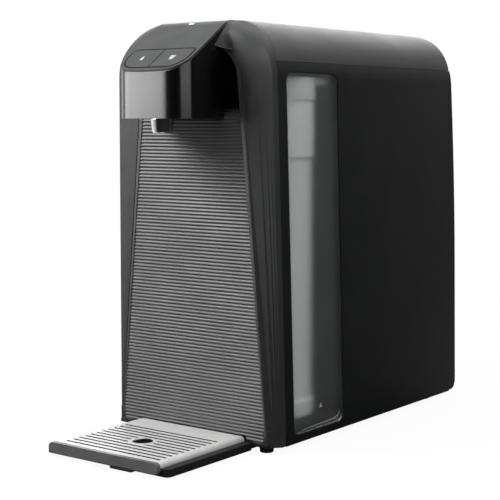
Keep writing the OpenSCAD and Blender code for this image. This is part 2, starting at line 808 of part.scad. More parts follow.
// Indicator: a short light window in the bend of the plate
module at_lens()
    translate([0, bend_at.x - plate_bend_r * sin(lens_tilt), bend_at.y + plate_bend_r * cos(lens_tilt)])
        rotate([lens_tilt, 0, 0])
            children();
module lens_form(grow)
    translate([0, 0, -plate_skin - 1])
        linear_extrude(plate_skin + 1)
            polygon(rounded(box_pts(-lens_l / 2 - grow, -lens_d / 2 - grow, lens_l / 2 + grow,
                                    lens_d / 2 + grow), [1, 1, 1, 1], 4));
module indicator_lens() color("#dff5e8") placed() at_lens() lens_form(0);

// Control board on the plate's posts, with a switch under each button
module control_board() color("#2d5a3a") placed() on_plate()
    union() {
        block(-board_w / 2, board_w / 2, -board_head - board_l, -board_head, -board_depth - board_t,
              -board_depth);
        for (side = [-1, 1])
            translate([side * buttons_w / 4, -button_mid, -board_depth])
                block(-switch_w / 2, switch_w / 2, -switch_w / 2, switch_w / 2, -1, switch_h);
    }

// Nozzle: a tapered sleeve hung in the head's floor, with a soft insert in its mouth
nozzle_flange_z = head_under + wall;
barb_h = 12;
insert_h = 5;
module nozzle_sleeve() color("#8d9092") placed()
    translate([0, -nozzle_reach, 0])
        rotate_extrude($fn = 64)
            polygon([[nozzle_bore_d / 2, nozzle_z], [nozzle_tip_d / 2 - 0.6, nozzle_z],
                     [nozzle_tip_d / 2, nozzle_z + 0.6], [nozzle_d / 2, head_under - gap],
                     [nozzle_d / 2 - gap, head_under - gap], [nozzle_d / 2 - gap, nozzle_flange_z],
                     [nozzle_d / 2 + 3, nozzle_flange_z], [nozzle_d / 2 + 3, nozzle_flange_z + 2.5],
                     [hose_d / 2 - 1.4, nozzle_flange_z + 2.5], [hose_d / 2 - 1.4, nozzle_flange_z + barb_h],
                     [hose_d / 2 - 2.4, nozzle_flange_z + barb_h], [hose_d / 2 - 2.4, nozzle_flange_z - 2],
                     [nozzle_bore_d / 2, nozzle_flange_z - 2]]);
module nozzle_insert() color("#3c3d3d") placed()
    translate([0, -nozzle_reach, nozzle_z + 1.5])
        difference() {
            cylinder(d = nozzle_bore_d - 0.2, h = insert_h, $fn = 48);
            for (a = [0:60:300])
                rotate(a) translate([4, 0, -1]) cylinder(d = 1.8, h = insert_h + 2, $fn = 16);
        }

// Drip tray: an open well with a ledge for the grille, and two arms that run in the tunnel
module drip_tray() color("#161717") placed() {
    front = -tray_reach + tray_bar_t;
    union() {
        difference() {
            translate([0, 0, tray_z])
                linear_extrude(tray_rim_z - tray_z)
                    polygon(rounded(box_pts(-tray_w / 2, front, tray_w / 2, -tray_back),
                                    [tray_corner_r, tray_corner_r, 0, 0]));
            block(-grille_w / 2 - gap, grille_w / 2 + gap, front - 1, far, tray_ledge_z, far);
            block(-tray_well_w / 2, tray_well_w / 2, front + 3, -tray_back - 3, tray_z + tray_floor, far);
        }
        for (side = [-1, 1]) mirror([side < 0 ? 1 : 0, 0, 0]) {
            block(tray_w / 2 - tray_arm_w, tray_w / 2, -tray_back - 1, tray_rail_l, tray_z + tray_floor,
                  tray_ledge_z);
            block(-1, tray_w / 2 - 1, -tray_back - 1, tray_rail_l, tray_z + tray_floor,
                  tray_z + 2 * tray_floor);
            block(tray_w / 2 - 1, tray_w / 2 + runner_w - 2 * gap, runner_front, tray_rail_l, runner_z,
                  tray_ledge_z);
            block(tray_w / 2 - 1, tray_w / 2 + nub, front + nub_y, front + nub_y + 2, tray_z + 2,
                  tray_rim_z - 1);
        }
    }
}

module tray_front_bar() color("#5a5b5b") placed()
    along_y(-tray_reach, -tray_reach + tray_bar_t)
        polygon(rounded(box_pts(-grille_w / 2 - 0.8, grille_z + 0.6 - tray_bar_h, grille_w / 2 + 0.8,
                                grille_z + 0.6), [3, 3, 4, 4]));

module tray_foot() color("#4a4b4b") placed()
    block(5, 31, -tray_reach + tray_bar_t + 0.6, -tray_reach + tray_bar_t + 8, 0, tray_z);

// Grille plate: a thin sheet with rolled sides, lateral slots and a finger hole
module drip_grille() color("#c9cacb") placed() {
    front = -tray_reach + tray_bar_t + gap;
    back = -1;
    r = roll_r;
    w = grille_w / 2;
    difference() {
        along_y(front, back)
            difference() {
                polygon(rounded(box_pts(-w, tray_ledge_z, w, grille_z), [0, 0, r, r]));
                polygon(rounded(box_pts(-w + sheet_t, tray_ledge_z - 1, w - sheet_t, grille_z - sheet_t),
                                [0, 0, r - sheet_t, r - sheet_t]));
            }
        for (i = [0:slot_count - 1])
            block(-w + slot_margin, w - slot_margin, front + slot_front + i * slot_pitch,
                  front + slot_front + i * slot_pitch + slot_w, grille_z - 2 * sheet_t, far);
        translate([0, -tray_reach + finger_y, 0]) cylinder(d = finger_d, h = far, $fn = 48);
    }
}

// Inner frame: an upright plate across the body, stood on the tunnel's roof
function frame_half() =
    let (edge = side_x(frame_shoulder_z) - wall - frame_clear)
    [[frame_foot_w, tunnel_roof_z], [frame_foot_w, base_rim_z + gap],
     [side_x(base_rim_z) - wall - frame_clear, base_rim_z + gap], [edge, frame_shoulder_z],
     [edge - frame_shoulder, frame_shoulder_z], [edge - frame_shoulder, seam_z - frame_chamfer],
     [cartridge_x[0] + neck_d / 2, frame_top_z]];
module mid_frame() color("#3a3b3b") placed()
    difference() {
        along_y(frame_y, frame_y + frame_t)
            polygon(concat(frame_half(), reversed([for (p = frame_half()) [-p.x, p.y]])));
        translate([feed_x, frame_y - 1, feed_z])
            rotate([-90, 0, 0])
                cylinder(d = 4 * hose_d, h = frame_t + 2, $fn = 40);
    }

// Filter manifold: a block with a bayonet socket for each cartridge
manifold_r = neck_d / 2 + lug_out + gap + manifold_wall;
manifold_x0 = cartridge_x[1] - manifold_r;
manifold_x1 = cartridge_x[0] + manifold_r;
module manifold_plan()
    polygon(rounded(box_pts(manifold_x0, cartridge_y - manifold_r, manifold_x1, frame_y), [18, 18, 0, 0]));

module filter_manifold() color("#dcdedd") placed()
    difference() {
        union() {
            translate([0, 0, manifold_z]) linear_extrude(manifold_h) manifold_plan();
            translate([cartridge_x[0], cartridge_y, manifold_z + manifold_h - 1])
                cylinder(d = port_d, h = port_h + 1, $fn = 24);
            translate([dispense_x + dispense_w / 2 + gap, dispense_y, dispense_z])
                rotate([0, 90, 0])
                    cylinder(d = port_d, h = manifold_x0 - dispense_x - dispense_w / 2 + 1, $fn = 24);
        }
        for (x = cartridge_x) translate([x, cartridge_y, 0]) {
            translate([0, 0, manifold_z - 1])
                cylinder(d = neck_d + 2 * gap, h = cartridge_top + neck_h + gap - manifold_z + 1, $fn = 64);
            translate([0, 0, lug_z - gap])
                cylinder(d = neck_d + 2 * (lug_out + gap), h = lug_t + 2 * gap, $fn = 64);
            for (a = [90, 270])
                rotate(a - lug_angle / 2 - 3)
                    translate([0, 0, manifold_z - 1])
                        rotate_extrude(angle = lug_angle + 6, $fn = 64)
                            square([neck_d / 2 + lug_out + gap, lug_z - manifold_z + 2]);
        }
        translate([cartridge_x[0], cartridge_y, manifold_z]) cylinder(d = port_d - 2, h = far, $fn = 24);
    }

// A cartridge: body, two caps, grip ribs, and a neck with two bayonet lugs and a seal groove
seal_d = 2.4;
seal_z = cartridge_top + 7;
module cartridge(x)
    translate([x, cartridge_y, 0])
        difference() {
            union() {
                rotate_extrude($fn = 72)
                    polygon(rounded([[0, cartridge_z], [cap_d / 2, cartridge_z],
                                     [cap_d / 2, cartridge_z + 16], [cartridge_d / 2, cartridge_z + 18],
                                     [cartridge_d / 2, cartridge_top - cap_h],
                                     [cap_d / 2, cartridge_top - cap_h + 2], [cap_d / 2, cartridge_top],
                                     [neck_d / 2, cartridge_top], [neck_d / 2, seal_z - seal_d / 2],
                                     [neck_d / 2 - seal_d / 2, seal_z - seal_d / 2],
                                     [neck_d / 2 - seal_d / 2, seal_z + seal_d / 2],
                                     [neck_d / 2, seal_z + seal_d / 2],
                                     [neck_d / 2, cartridge_top + neck_h], [0, cartridge_top + neck_h]],
                                    [0, 3, 0, 0, 0, 0, 4, 0, 0, 0, 0, 0, 0, 0]));
                for (a = [0, 180])
                    rotate(a - lug_angle / 2)
                        translate([0, 0, lug_z])
                            rotate_extrude(angle = lug_angle, $fn = 72)
                                translate([neck_d / 2 - 1, 0]) square([lug_out + 1, lug_t]);
            }
            translate([0, 0, cartridge_top]) cylinder(d = port_d, h = far, $fn = 24);
        }

module prefilter_cartridge() color("#e4e6e6") placed() cartridge(cartridge_x[0]);
module membrane_cartridge() color("#d5d8da") placed() cartridge(cartridge_x[1]);

module seal(x)
    translate([x, cartridge_y, seal_z])
        rotate_extrude($fn = 64)
            translate([neck_d / 2 - seal_d / 2 + 0.05, 0])
                polygon(rounded(box_pts(0, -seal_d / 2 + 0.05, seal_d / 2 + 0.15, seal_d / 2 - 0.05),
                                [0, 0.6, 0.6, 0], 4));

module prefilter_seal() color("#202020") placed() seal(cartridge_x[0]);
module membrane_seal() color("#202020") placed() seal(cartridge_x[1]);

// Water tank: an open vessel with a grip across its mouth, lifted out upwards
grip_w = 22;
grip_t = 8;
function tank_plan(inset = 0) =
    rounded(box_pts(-tank_w / 2 + inset, tank_front + inset, tank_w / 2 - inset, tank_back - inset),
            [for (i = [0:3]) tank_r - inset]);

module water_tank() color("#9fb4bd") placed()
    difference() {
        union() {
            difference() {
                translate([0, 0, tank_z]) linear_extrude(tank_top - tank_z) polygon(tank_plan());
                translate([0, 0, tank_z + tank_floor]) linear_extrude(far * 2) polygon(tank_plan(tank_wall));
            }
            block(-tank_w / 2 + 1, tank_w / 2 - 1, (tank_front + tank_back - grip_w) / 2,
                  (tank_front + tank_back + grip_w) / 2, tank_top - grip_t, tank_top);
        }
        translate([0, valve_y, tank_z - 1]) cylinder(d = valve_neck_d, h = tank_floor + 2, $fn = 48);
    }

module tank_valve() color("#e2e4e4") placed()
    translate([0, valve_y, 0])
        rotate_extrude($fn = 56)
            polygon([[5, tank_z - valve_h], [valve_d / 2, tank_z - valve_h], [valve_d / 2, tank_z],
                     [valve_neck_d / 2 - gap, tank_z], [valve_neck_d / 2 - gap, tank_z + tank_floor],
                     [valve_neck_d / 2 + 4, tank_z + tank_floor],
                     [valve_neck_d / 2 + 4, tank_z + tank_floor + 2.5], [5, tank_z + tank_floor + 2.5]]);

// Pump: a valve head and its motor on a bracket behind the inner frame
pump_y = frame_y + frame_t + bracket_t + pump_w / 2 + 1;
module pump_bracket() color("#b4b7b9") placed()
    union() {
        block(pump_x - pump_w / 2, pump_x + pump_w / 2, frame_y + frame_t, frame_y + frame_t + bracket_t,
              pump_z - 8, pump_z + pump_h + motor_h - 16);
        block(pump_x - pump_w / 2, pump_x + pump_w / 2, frame_y + frame_t, pump_y + pump_w / 2,
              pump_z - bracket_t, pump_z);
    }
module pump_head() color("#26282a") placed()
    difference() {
        translate([pump_x, pump_y, pump_z])
            linear_extrude(pump_h)
                polygon(rounded(box_pts(-pump_w / 2, -pump_w / 2, pump_w / 2, pump_w / 2), [9, 9, 9, 9]));
        translate([pump_x, pump_y, pump_z + pump_h - 3])
            cylinder(d = motor_d - 8 + 2 * gap, h = far, $fn = 48);
    }
module pump_motor() color("#c2c5c7") placed()
    translate([pump_x, pump_y, pump_z + pump_h])
        rotate_extrude($fn = 56)
            polygon(rounded([[0, -3], [motor_d / 2 - 4, -3], [motor_d / 2 - 4, 0], [motor_d / 2, 0],
                             [motor_d / 2, motor_h - 6], [9, motor_h - 6], [9, motor_h], [0, motor_h]],
                            [0, 0, 0, 0, 3, 0, 1, 0], 4));

module power_supply() color("#8f9396") placed()
    translate([0, 0, supply_z])
        difference() {
            block(supply_x, supply_x + supply_w, frame_y + frame_t, frame_y + frame_t + supply_d, 0,
                  supply_h);
            for (z = [14:10:supply_h - 14])
                block(supply_x + 8, supply_x + supply_w - 8, frame_y + frame_t + supply_d - 1.5, far, z,
                      z + 4);
        }

// Power inlet: a recessed socket behind the rear cover
module power_inlet() color("#101010") placed()
    difference() {
        union() {
            block(inlet_x - inlet_w / 2, inlet_x + inlet_w / 2, body_d - wall - inlet_d, body_d - gap,
                  inlet_z - inlet_h / 2, inlet_z + inlet_h / 2);
            block(inlet_x - inlet_w / 2 - 6, inlet_x + inlet_w / 2 + 6, body_d - wall - 2.5, body_d - wall,
                  inlet_z - inlet_h / 2 - 3, inlet_z + inlet_h / 2 + 3);
        }
        difference() {
            block(inlet_x - inlet_w / 2 + 2, inlet_x + inlet_w / 2 - 2, body_d - wall - inlet_d + 2, far * 2,
                  inlet_z - inlet_h / 2 + 2, inlet_z + inlet_h / 2 - 2);
            for (x = [-7, 0, 7])
                block(inlet_x + x - 1, inlet_x + x + 1, 0, body_d - 4,
                      inlet_z - 2 + (x == 0 ? 3 : -2), inlet_z + 2 + (x == 0 ? 3 : -2));
        }
    }

// Dispense valve: a coil on a valve body, fixed to the front of the inner frame
module dispense_valve() color("#d8dad9") placed()
    translate([dispense_x, frame_y, dispense_z])
        union() {
            block(-dispense_w / 2, dispense_w / 2, -dispense_d, 0, -dispense_h / 2, dispense_h / 2);
            block(-dispense_w / 2 + coil_inset, dispense_w / 2 - coil_inset, -dispense_d + coil_inset,
                  -coil_inset, -dispense_h / 2 - coil_h, -dispense_h / 2);
            rotate([90, 0, 0]) cylinder(d = port_d, h = dispense_d + dispense_port_l, $fn = 24);
        }

// Hoses: round tubes swept along a few points with their corners eased
function ease(pts, r, n = 4) =
    concat([pts[0]],
           [for (i = [1:len(pts) - 2], k = [0:n])
               let (a = pts[i] + unit(pts[i - 1] - pts[i]) * r,
                    c = pts[i] + unit(pts[i + 1] - pts[i]) * r,
                    t = k / n)
               (1 - t) * (1 - t) * a + 2 * t * (1 - t) * pts[i] + t * t * c],
           [pts[len(pts) - 1]]);
function tangent(p, i) = unit(p[min(i + 1, len(p) - 1)] - p[max(i - 1, 0)]);
function side_of(d) = unit(cross(d, abs(d.z) > 0.9 ? [0, 1, 0] : abs(d.y) > 0.9 ? [1, 0, 0] : [0.3, 0.5, 1]));
function carry(p, i, s) = let (d = tangent(p, i)) unit(s - d * (s * d));
function frames(p, i, s) = i >= len(p) ? [] : let (n = carry(p, i, s)) concat([n], frames(p, i + 1, n));
module tube(pts, d, r, sides = 10) {
    p = ease(pts, r);
    f = frames(p, 0, side_of(tangent(p, 0)));
    loft([for (i = [0:len(p) - 1])
        let (b = cross(tangent(p, i), f[i]))
        [for (k = [0:sides - 1]) p[i] + d / 2 * (cos(360 * k / sides) * f[i] + sin(360 * k / sides) * b)]]);
}

hose_bend = 9;
pump_port_z = pump_z + pump_h / 2;
pump_left = pump_x - pump_w / 2 - gap;
pump_right = pump_x + pump_w / 2 + gap;
feed_x = filter_left - hose_d / 2 - 3;
feed_y = cartridge_y + 7;
feed_drop = 155;
feed_z = z_top - feed_drop;
feed_top = manifold_z + manifold_h + port_h + hose_d;
feed_rise = 40;
feed_step = 9;
feed_port_z = pump_z + 10;
hose_clear = 6.5;
suction_space = 14;
suction_y = tunnel_end + suction_space;
module suction_hose() color("#e8e8e6") placed()
    tube([[0, valve_y - dock_d / 2 - gap, dock_port_z], [0, suction_y, dock_port_z],
          [0, suction_y, pump_port_z], [0, pump_y, pump_port_z], [pump_right, pump_y, pump_port_z]],
         hose_d, hose_bend - 2);

module feed_hose() color("#e8e8e6") placed()
    tube([[pump_left, pump_y, feed_port_z], [pump_left - hose_clear, pump_y, feed_port_z],
          [pump_left - hose_clear, pump_y, feed_z - feed_rise], [feed_x, pump_y - feed_step, feed_z],
          [feed_x, feed_y, feed_z], [feed_x, feed_y, feed_top], [cartridge_x[0], cartridge_y, feed_top],
          [cartridge_x[0], cartridge_y, manifold_z + manifold_h + port_h + gap]], hose_d, hose_clear - 1);

module outlet_hose() color("#e8e8e6") placed()
    tube([[dispense_x, frame_y - dispense_d - dispense_port_l - gap, dispense_z],
          [dispense_x, duct_back + hose_bend, dispense_z],
          [0, duct_back + hose_bend, duct_z0 + duct_h / 2], [0, -nozzle_reach, duct_z0 + duct_h / 2],
          [0, -nozzle_reach, nozzle_flange_z + barb_h + gap]], hose_d, hose_bend);

// Screws that hold the rear cover
module rear_screws() color("#55585a") placed()
    for (side = [-1, 1], z = screw_zs)
        translate([side * screw_x, rear_y(z), z])
            rotate([-90, 0, 0])
                rotate_extrude($fn = 32)
                    polygon([[0, screw_tip(z)], [screw_d / 2, screw_tip(z)],
                             [screw_d / 2, -screw_sunk],
                             [screw_head_d / 2, -screw_sunk],
                             [screw_head_d / 2, -0.7],
                             [screw_head_d / 2 - 1, -0.2], [0, -0.2]]);
function screw_tip(z) = rear_seam_y - boss_l + 1 - rear_y(z);

front_bezel();
front_panel();
left_side_panel();
right_side_panel();
rear_cover();
top_cover();
base_pan();
rubber_feet();
filter_door();
head_shell();
control_plate();
left_button();
right_button();
indicator_lens();
control_board();
nozzle_sleeve();
nozzle_insert();
drip_tray();
tray_front_bar();
tray_foot();
drip_grille();
mid_frame();
filter_manifold();
prefilter_cartridge();
membrane_cartridge();
prefilter_seal();
membrane_seal();
water_tank();
tank_valve();
pump_head();
pump_motor();
pump_bracket();
power_supply();
power_inlet();
dispense_valve();
suction_hose();
feed_hose();
outlet_hose();
rear_screws();
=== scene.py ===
# %% [markdown]
# # A countertop water purifier
#
# This lesson dresses a finished CAD model of a slim water purifier so that it
# looks like a product photograph. The CAD model already has the right shapes
# and sizes, so nothing is moved here. Each cell adds one thing: softer edges,
# a material, a small moulding or mark, the camera, the light.
#
# We start by loading the model. Every CAD node arrives as a mesh in metres,
# with +Z up, and the machine's front looks along -Y.

# %% Load the model
import math

import bpy
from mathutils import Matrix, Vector


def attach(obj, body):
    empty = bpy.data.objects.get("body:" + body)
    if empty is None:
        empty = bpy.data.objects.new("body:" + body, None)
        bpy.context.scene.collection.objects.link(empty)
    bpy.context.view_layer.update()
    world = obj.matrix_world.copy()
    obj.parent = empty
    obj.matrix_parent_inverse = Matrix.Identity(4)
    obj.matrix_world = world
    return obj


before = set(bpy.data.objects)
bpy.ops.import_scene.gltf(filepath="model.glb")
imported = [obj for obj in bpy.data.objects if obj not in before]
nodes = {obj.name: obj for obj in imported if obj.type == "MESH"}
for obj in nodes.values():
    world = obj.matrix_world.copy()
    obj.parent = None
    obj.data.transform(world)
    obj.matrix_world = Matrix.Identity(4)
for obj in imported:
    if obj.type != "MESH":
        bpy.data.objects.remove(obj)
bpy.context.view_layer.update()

# %% [markdown]
# ## Smooth faces and soft edges
#
# A CAD export is made of flat triangles, and each face keeps its own copy of
# the points along its edges. Real mouldings have no perfectly sharp edge: a
# tiny round catches the light and draws the outline of every piece.
#
# Two modifiers do this without touching the mesh. The first is a small node
# graph that joins the doubled points and shades smoothly wherever two faces
# meet at less than a set angle. The second is a bevel on the edges that stay
# sharp. A modifier is a better choice than editing here, because the original
# vertices remain what the CAD model says they are. The rear cover has many
# small slots in a large flat face, so a third modifier there lets the large
# face decide the shading.

# %% Smooth shading and bevels
def smoothing_group():
    """A node graph that welds doubled points and keeps only real edges sharp."""
    g = bpy.data.node_groups.new("smooth_by_angle", "GeometryNodeTree")
    g.interface.new_socket("Geometry", in_out="INPUT", socket_type="NodeSocketGeometry")
    g.interface.new_socket("Angle", in_out="INPUT", socket_type="NodeSocketFloat")
    g.interface.new_socket("Geometry", in_out="OUTPUT", socket_type="NodeSocketGeometry")
    add = g.nodes.new
    start, end = add("NodeGroupInput"), add("NodeGroupOutput")
    weld = add("GeometryNodeMergeByDistance")
    weld.inputs["Distance"].default_value = 0.00001
    faces, edges = add("GeometryNodeSetShadeSmooth"), add("GeometryNodeSetShadeSmooth")
    faces.domain, edges.domain = "FACE", "EDGE"
    angle = add("GeometryNodeInputMeshEdgeAngle")
    below = add("FunctionNodeCompare")
    below.data_type, below.operation = "FLOAT", "LESS_THAN"
    g.links.new(start.outputs["Geometry"], weld.inputs["Geometry"])
    g.links.new(weld.outputs["Geometry"], faces.inputs["Geometry"])
    g.links.new(faces.outputs["Geometry"], edges.inputs["Geometry"])
    g.links.new(angle.outputs["Unsigned Angle"], below.inputs["A"])
    g.links.new(start.outputs["Angle"], below.inputs["B"])
    g.links.new(below.outputs["Result"], edges.inputs["Shade Smooth"])
    g.links.new(edges.outputs["Geometry"], end.inputs["Geometry"])
    return g


SMOOTH = smoothing_group()


SHARP_ANGLE = 28


def soften(obj, bevel=0.0):
    """Smooth shading below the sharp angle in degrees, and a bevel in metres above it."""
    m = obj.modifiers.new("smooth", "NODES")
    m.node_group = SMOOTH
    socket = next(s for s in SMOOTH.interface.items_tree if s.name == "Angle")
    m[socket.identifier] = math.radians(SHARP_ANGLE)
    if bevel:
        b = obj.modifiers.new("bevel", "BEVEL")
        b.width, b.segments = bevel, 2
        b.limit_method, b.angle_limit = "ANGLE", math.radians(SHARP_ANGLE + 4)
        b.miter_outer = "MITER_ARC"
        b.harden_normals = True


BEVELS = {
    "front_bezel": 0.0006, "top_cover": 0.0005, "left_side_panel": 0.0005,
    "right_side_panel": 0.0005, "rear_cover": 0.0005, "filter_door": 0.0006,
    "head_shell": 0.0008, "control_plate": 0.0007, "left_button": 0.0004,
    "right_button": 0.0004, "tray_front_bar": 0.0009, "drip_tray": 0.0004,
    "rubber_feet": 0.0006, "base_pan": 0.0004, "tray_foot": 0.0003,
    "mid_frame": 0.0005, "filter_manifold": 0.0012, "power_supply": 0.0008,
    "power_inlet": 0.0003, "dispense_valve": 0.0008, "pump_head": 0.0012,
    "pump_bracket": 0.0004, "water_tank": 0.0006, "control_board": 0.0002,
}
for name, obj in nodes.items():
    soften(obj, bevel=BEVELS.get(name, 0.0))
even = nodes["rear_cover"].modifiers.new("even", "WEIGHTED_NORMAL")
even.keep_sharp, even.weight = True, 100
print("beveled:", len(BEVELS), "smoothed:", len(nodes))

# %% [markdown]
# ## Materials from noise
#
# No surface is one flat colour. A moulded panel has a fine grain that breaks
# up its reflection, and slow changes of gloss from handling and cleaning. All
# of that can be drawn with noise textures in the object's own coordinates, so
# no picture file is needed and the detail has a real size in metres.
#
# A few helpers keep the recipes short. `field` gives a noise value between
# two numbers, `tint` turns a value into a colour, and `bump` turns it into a
# height.

# %% Helpers for node materials
def material(name):
    """A new material and its node tree, with the main shader."""
    m = bpy.data.materials.new(name)
    m.use_nodes = True
    return m, m.node_tree, m.node_tree.nodes["Principled BSDF"]


def field(tree, scale, low=0.0, high=1.0, stretch=(1, 1, 1), detail=3.0, rough=0.55):
    """A noise value between two numbers. Scale is in features per metre."""
    place = tree.nodes.new("ShaderNodeTexCoord")
    fit = tree.nodes.new("ShaderNodeMapping")
    fit.inputs["Scale"].default_value = stretch
    noise = tree.nodes.new("ShaderNodeTexNoise")
    noise.inputs["Scale"].default_value = scale
    noise.inputs["Detail"].default_value = detail
    noise.inputs["Roughness"].default_value = rough
    spread = tree.nodes.new("ShaderNodeMapRange")
    spread.inputs["From Min"].default_value = 0.3
    spread.inputs["From Max"].default_value = 0.7
    spread.inputs["To Min"].default_value = low
    spread.inputs["To Max"].default_value = high
    tree.links.new(place.outputs["Object"], fit.inputs["Vector"])
    tree.links.new(fit.outputs["Vector"], noise.inputs["Vector"])
    tree.links.new(noise.outputs["Fac"], spread.inputs["Value"])
    return spread.outputs["Result"]


def tint(tree, value, dark, light):
    """A colour between two colours, chosen by a value."""
    mix = tree.nodes.new("ShaderNodeMix")
    mix.data_type = "RGBA"
    mix.inputs["A"].default_value = (*dark, 1)
    mix.inputs["B"].default_value = (*light, 1)
    tree.links.new(value, mix.inputs["Factor"])
    return mix.outputs["Result"]


def bump(tree, shader, height, strength, distance=0.0003):
    """Let a value raise and lower the surface."""
    b = tree.nodes.new("ShaderNodeBump")
    b.inputs["Strength"].default_value = strength
    b.inputs["Distance"].default_value = distance
    tree.links.new(height, b.inputs["Height"])
    tree.links.new(b.outputs["Normal"], shader.inputs["Normal"])


def moulded(name, colour, gloss, grain=1400, depth=0.12, shine=0.4, vary=0.12):
    """Moulded plastic: mottled colour, uneven gloss and a fine grain."""
    m, tree, shader = material(name)
    dark = tuple(c * (1 - vary) for c in colour)
    light = tuple(c * (1 + vary) for c in colour)
    tree.links.new(tint(tree, field(tree, 55), dark, light), shader.inputs["Base Color"])
    tree.links.new(field(tree, 22, gloss[0], gloss[1]), shader.inputs["Roughness"])
    shader.inputs["Specular IOR Level"].default_value = shine
    bump(tree, shader, field(tree, grain, detail=2), depth)
    return m


def dress(m, *names):
    """Give a material to CAD nodes."""
    for n in names:
        slots = nodes[n].data.materials
        slots.clear()
        slots.append(m)


# %% [markdown]
# ## The dark mouldings
#
# The shell, the top cover, the bezel, the control plate and the base are all
# injection mouldings, but each has its own finish. The shell is almost black
# with a fine spark-eroded grain. The top cover and the bezel are duller and a
# little paler, which keeps their edges readable against a white room. The head
# is polished: almost black, so that it mirrors the room.

# %% Plastics
shell = moulded("shell_plastic", (0.0055, 0.0062, 0.0062), (0.28, 0.36), shine=0.32)
cover_plastic = moulded("cover_plastic", (0.027, 0.028, 0.028), (0.43, 0.50), shine=0.34)
frame_plastic = moulded("bezel_plastic", (0.028, 0.029, 0.029), (0.42, 0.5), shine=0.34)
gloss_plastic = moulded("gloss_plastic", (0.0015, 0.0015, 0.0015), (0.18, 0.22), grain=60, depth=0.01,
                        shine=0.9, vary=0.3)
plate_plastic = moulded("plate_plastic", (0.030, 0.031, 0.031), (0.42, 0.54), shine=0.28)
base_plastic = moulded("base_plastic", (0.012, 0.012, 0.012), (0.38, 0.5), shine=0.3)
bar_plastic = moulded("bar_plastic", (0.115, 0.115, 0.116), (0.36, 0.46), shine=0.4)
inner_plastic = moulded("inner_plastic", (0.06, 0.062, 0.063), (0.45, 0.6), shine=0.3)
rubber = moulded("rubber", (0.016, 0.016, 0.016), (0.7, 0.85), grain=900, depth=0.3, shine=0.3)
white_plastic = moulded("white_plastic", (0.72, 0.73, 0.72), (0.28, 0.4), depth=0.05, vary=0.03)
hose_plastic = moulded("hose_plastic", (0.62, 0.62, 0.60), (0.3, 0.42), depth=0.04, vary=0.05)
board_green = moulded("board_green", (0.02, 0.09, 0.04), (0.25, 0.35), grain=500, depth=0.2, vary=0.35)

dress(shell, "left_side_panel", "right_side_panel", "rear_cover")
dress(cover_plastic, "top_cover")
dress(frame_plastic, "front_bezel")
dress(gloss_plastic, "head_shell")
dress(plate_plastic, "control_plate", "left_button", "right_button")
dress(base_plastic, "base_pan", "drip_tray", "power_inlet")
dress(bar_plastic, "tray_front_bar", "tray_foot")
dress(inner_plastic, "mid_frame", "pump_head", "power_supply")
dress(rubber, "rubber_feet", "nozzle_insert", "prefilter_seal", "membrane_seal")
dress(white_plastic, "prefilter_cartridge", "membrane_cartridge", "filter_manifold", "tank_valve",
      "dispense_valve")
dress(hose_plastic, "suction_hose", "feed_hose", "outlet_hose")
dress(board_green, "control_board")
print("plastics:", len([m for m in bpy.data.materials if m.users]))

# %% [markdown]
# ## The ribbed panel
#
# The panel is satin grey, with the head's shadow painted on it: above the
# head's underside a mask made from the height above the floor turns the colour
# black and switches the gloss and the shine with it.
# The rim round the panel lies a little in front and stays grey all the way.

# %% Ribbed panel
def panel_with_painted_shadow(name, level, rim, lower, upper, gloss_lower, gloss_upper):
    """Satin grey below a height in metres and on the rim, which lies in front, and a painted shadow above.
    """
    m, tree, shader = material(name)
    place = tree.nodes.new("ShaderNodeTexCoord")
    split = tree.nodes.new("ShaderNodeSeparateXYZ")
    # Painted shadow of the head: black from this height up, faded in over 8 mm.
    mask = tree.nodes.new("ShaderNodeMapRange")
    mask.inputs["From Min"].default_value = level - 0.004
    mask.inputs["From Max"].default_value = level + 0.004
    tree.links.new(place.outputs["Object"], split.inputs["Vector"])
    tree.links.new(split.outputs["Z"], mask.inputs["Value"])
    behind = tree.nodes.new("ShaderNodeMath")
    behind.operation = "GREATER_THAN"
    behind.inputs[1].default_value = rim
    tree.links.new(split.outputs["Y"], behind.inputs[0])
    both = tree.nodes.new("ShaderNodeMath")
    both.operation = "MULTIPLY"
    tree.links.new(mask.outputs["Result"], both.inputs[0])
    tree.links.new(behind.outputs["Value"], both.inputs[1])
    black = both.outputs["Value"]
    mottled = tint(tree, field(tree, 55), tuple(c * 0.9 for c in lower), tuple(c * 1.1 for c in lower))
    colour = tree.nodes.new("ShaderNodeMix")
    colour.data_type = "RGBA"
    colour.inputs["B"].default_value = (*upper, 1)
    tree.links.new(mottled, colour.inputs["A"])
    tree.links.new(black, colour.inputs["Factor"])
    tree.links.new(colour.outputs["Result"], shader.inputs["Base Color"])
    gloss = tree.nodes.new("ShaderNodeMix")
    gloss.inputs["B"].default_value = gloss_upper
    tree.links.new(field(tree, 22, *gloss_lower), gloss.inputs["A"])
    tree.links.new(black, gloss.inputs["Factor"])
    tree.links.new(gloss.outputs["Result"], shader.inputs["Roughness"])
    shine = tree.nodes.new("ShaderNodeMapRange")
    shine.inputs["To Min"].default_value = 0.45
    shine.inputs["To Max"].default_value = 0.05
    tree.links.new(black, shine.inputs["Value"])
    tree.links.new(shine.outputs["Result"], shader.inputs["Specular IOR Level"])
    bump(tree, shader, field(tree, 1400, detail=2), 0.1)
    return m


HEAD_UNDERSIDE, RIM_PLANE = 0.319, -0.11092
panel_plastic_with_painted_shadow = panel_with_painted_shadow("panel_plastic_with_painted_shadow", HEAD_UNDERSIDE, RIM_PLANE, (0.060, 0.0605, 0.059),
                           (0.0015, 0.0015, 0.0015), (0.34, 0.46), 0.12)
dress(panel_plastic_with_painted_shadow, "front_panel")
# The head's painted shadow on the panel starts at this height.
print("panel finishes meet at", HEAD_UNDERSIDE, "m")
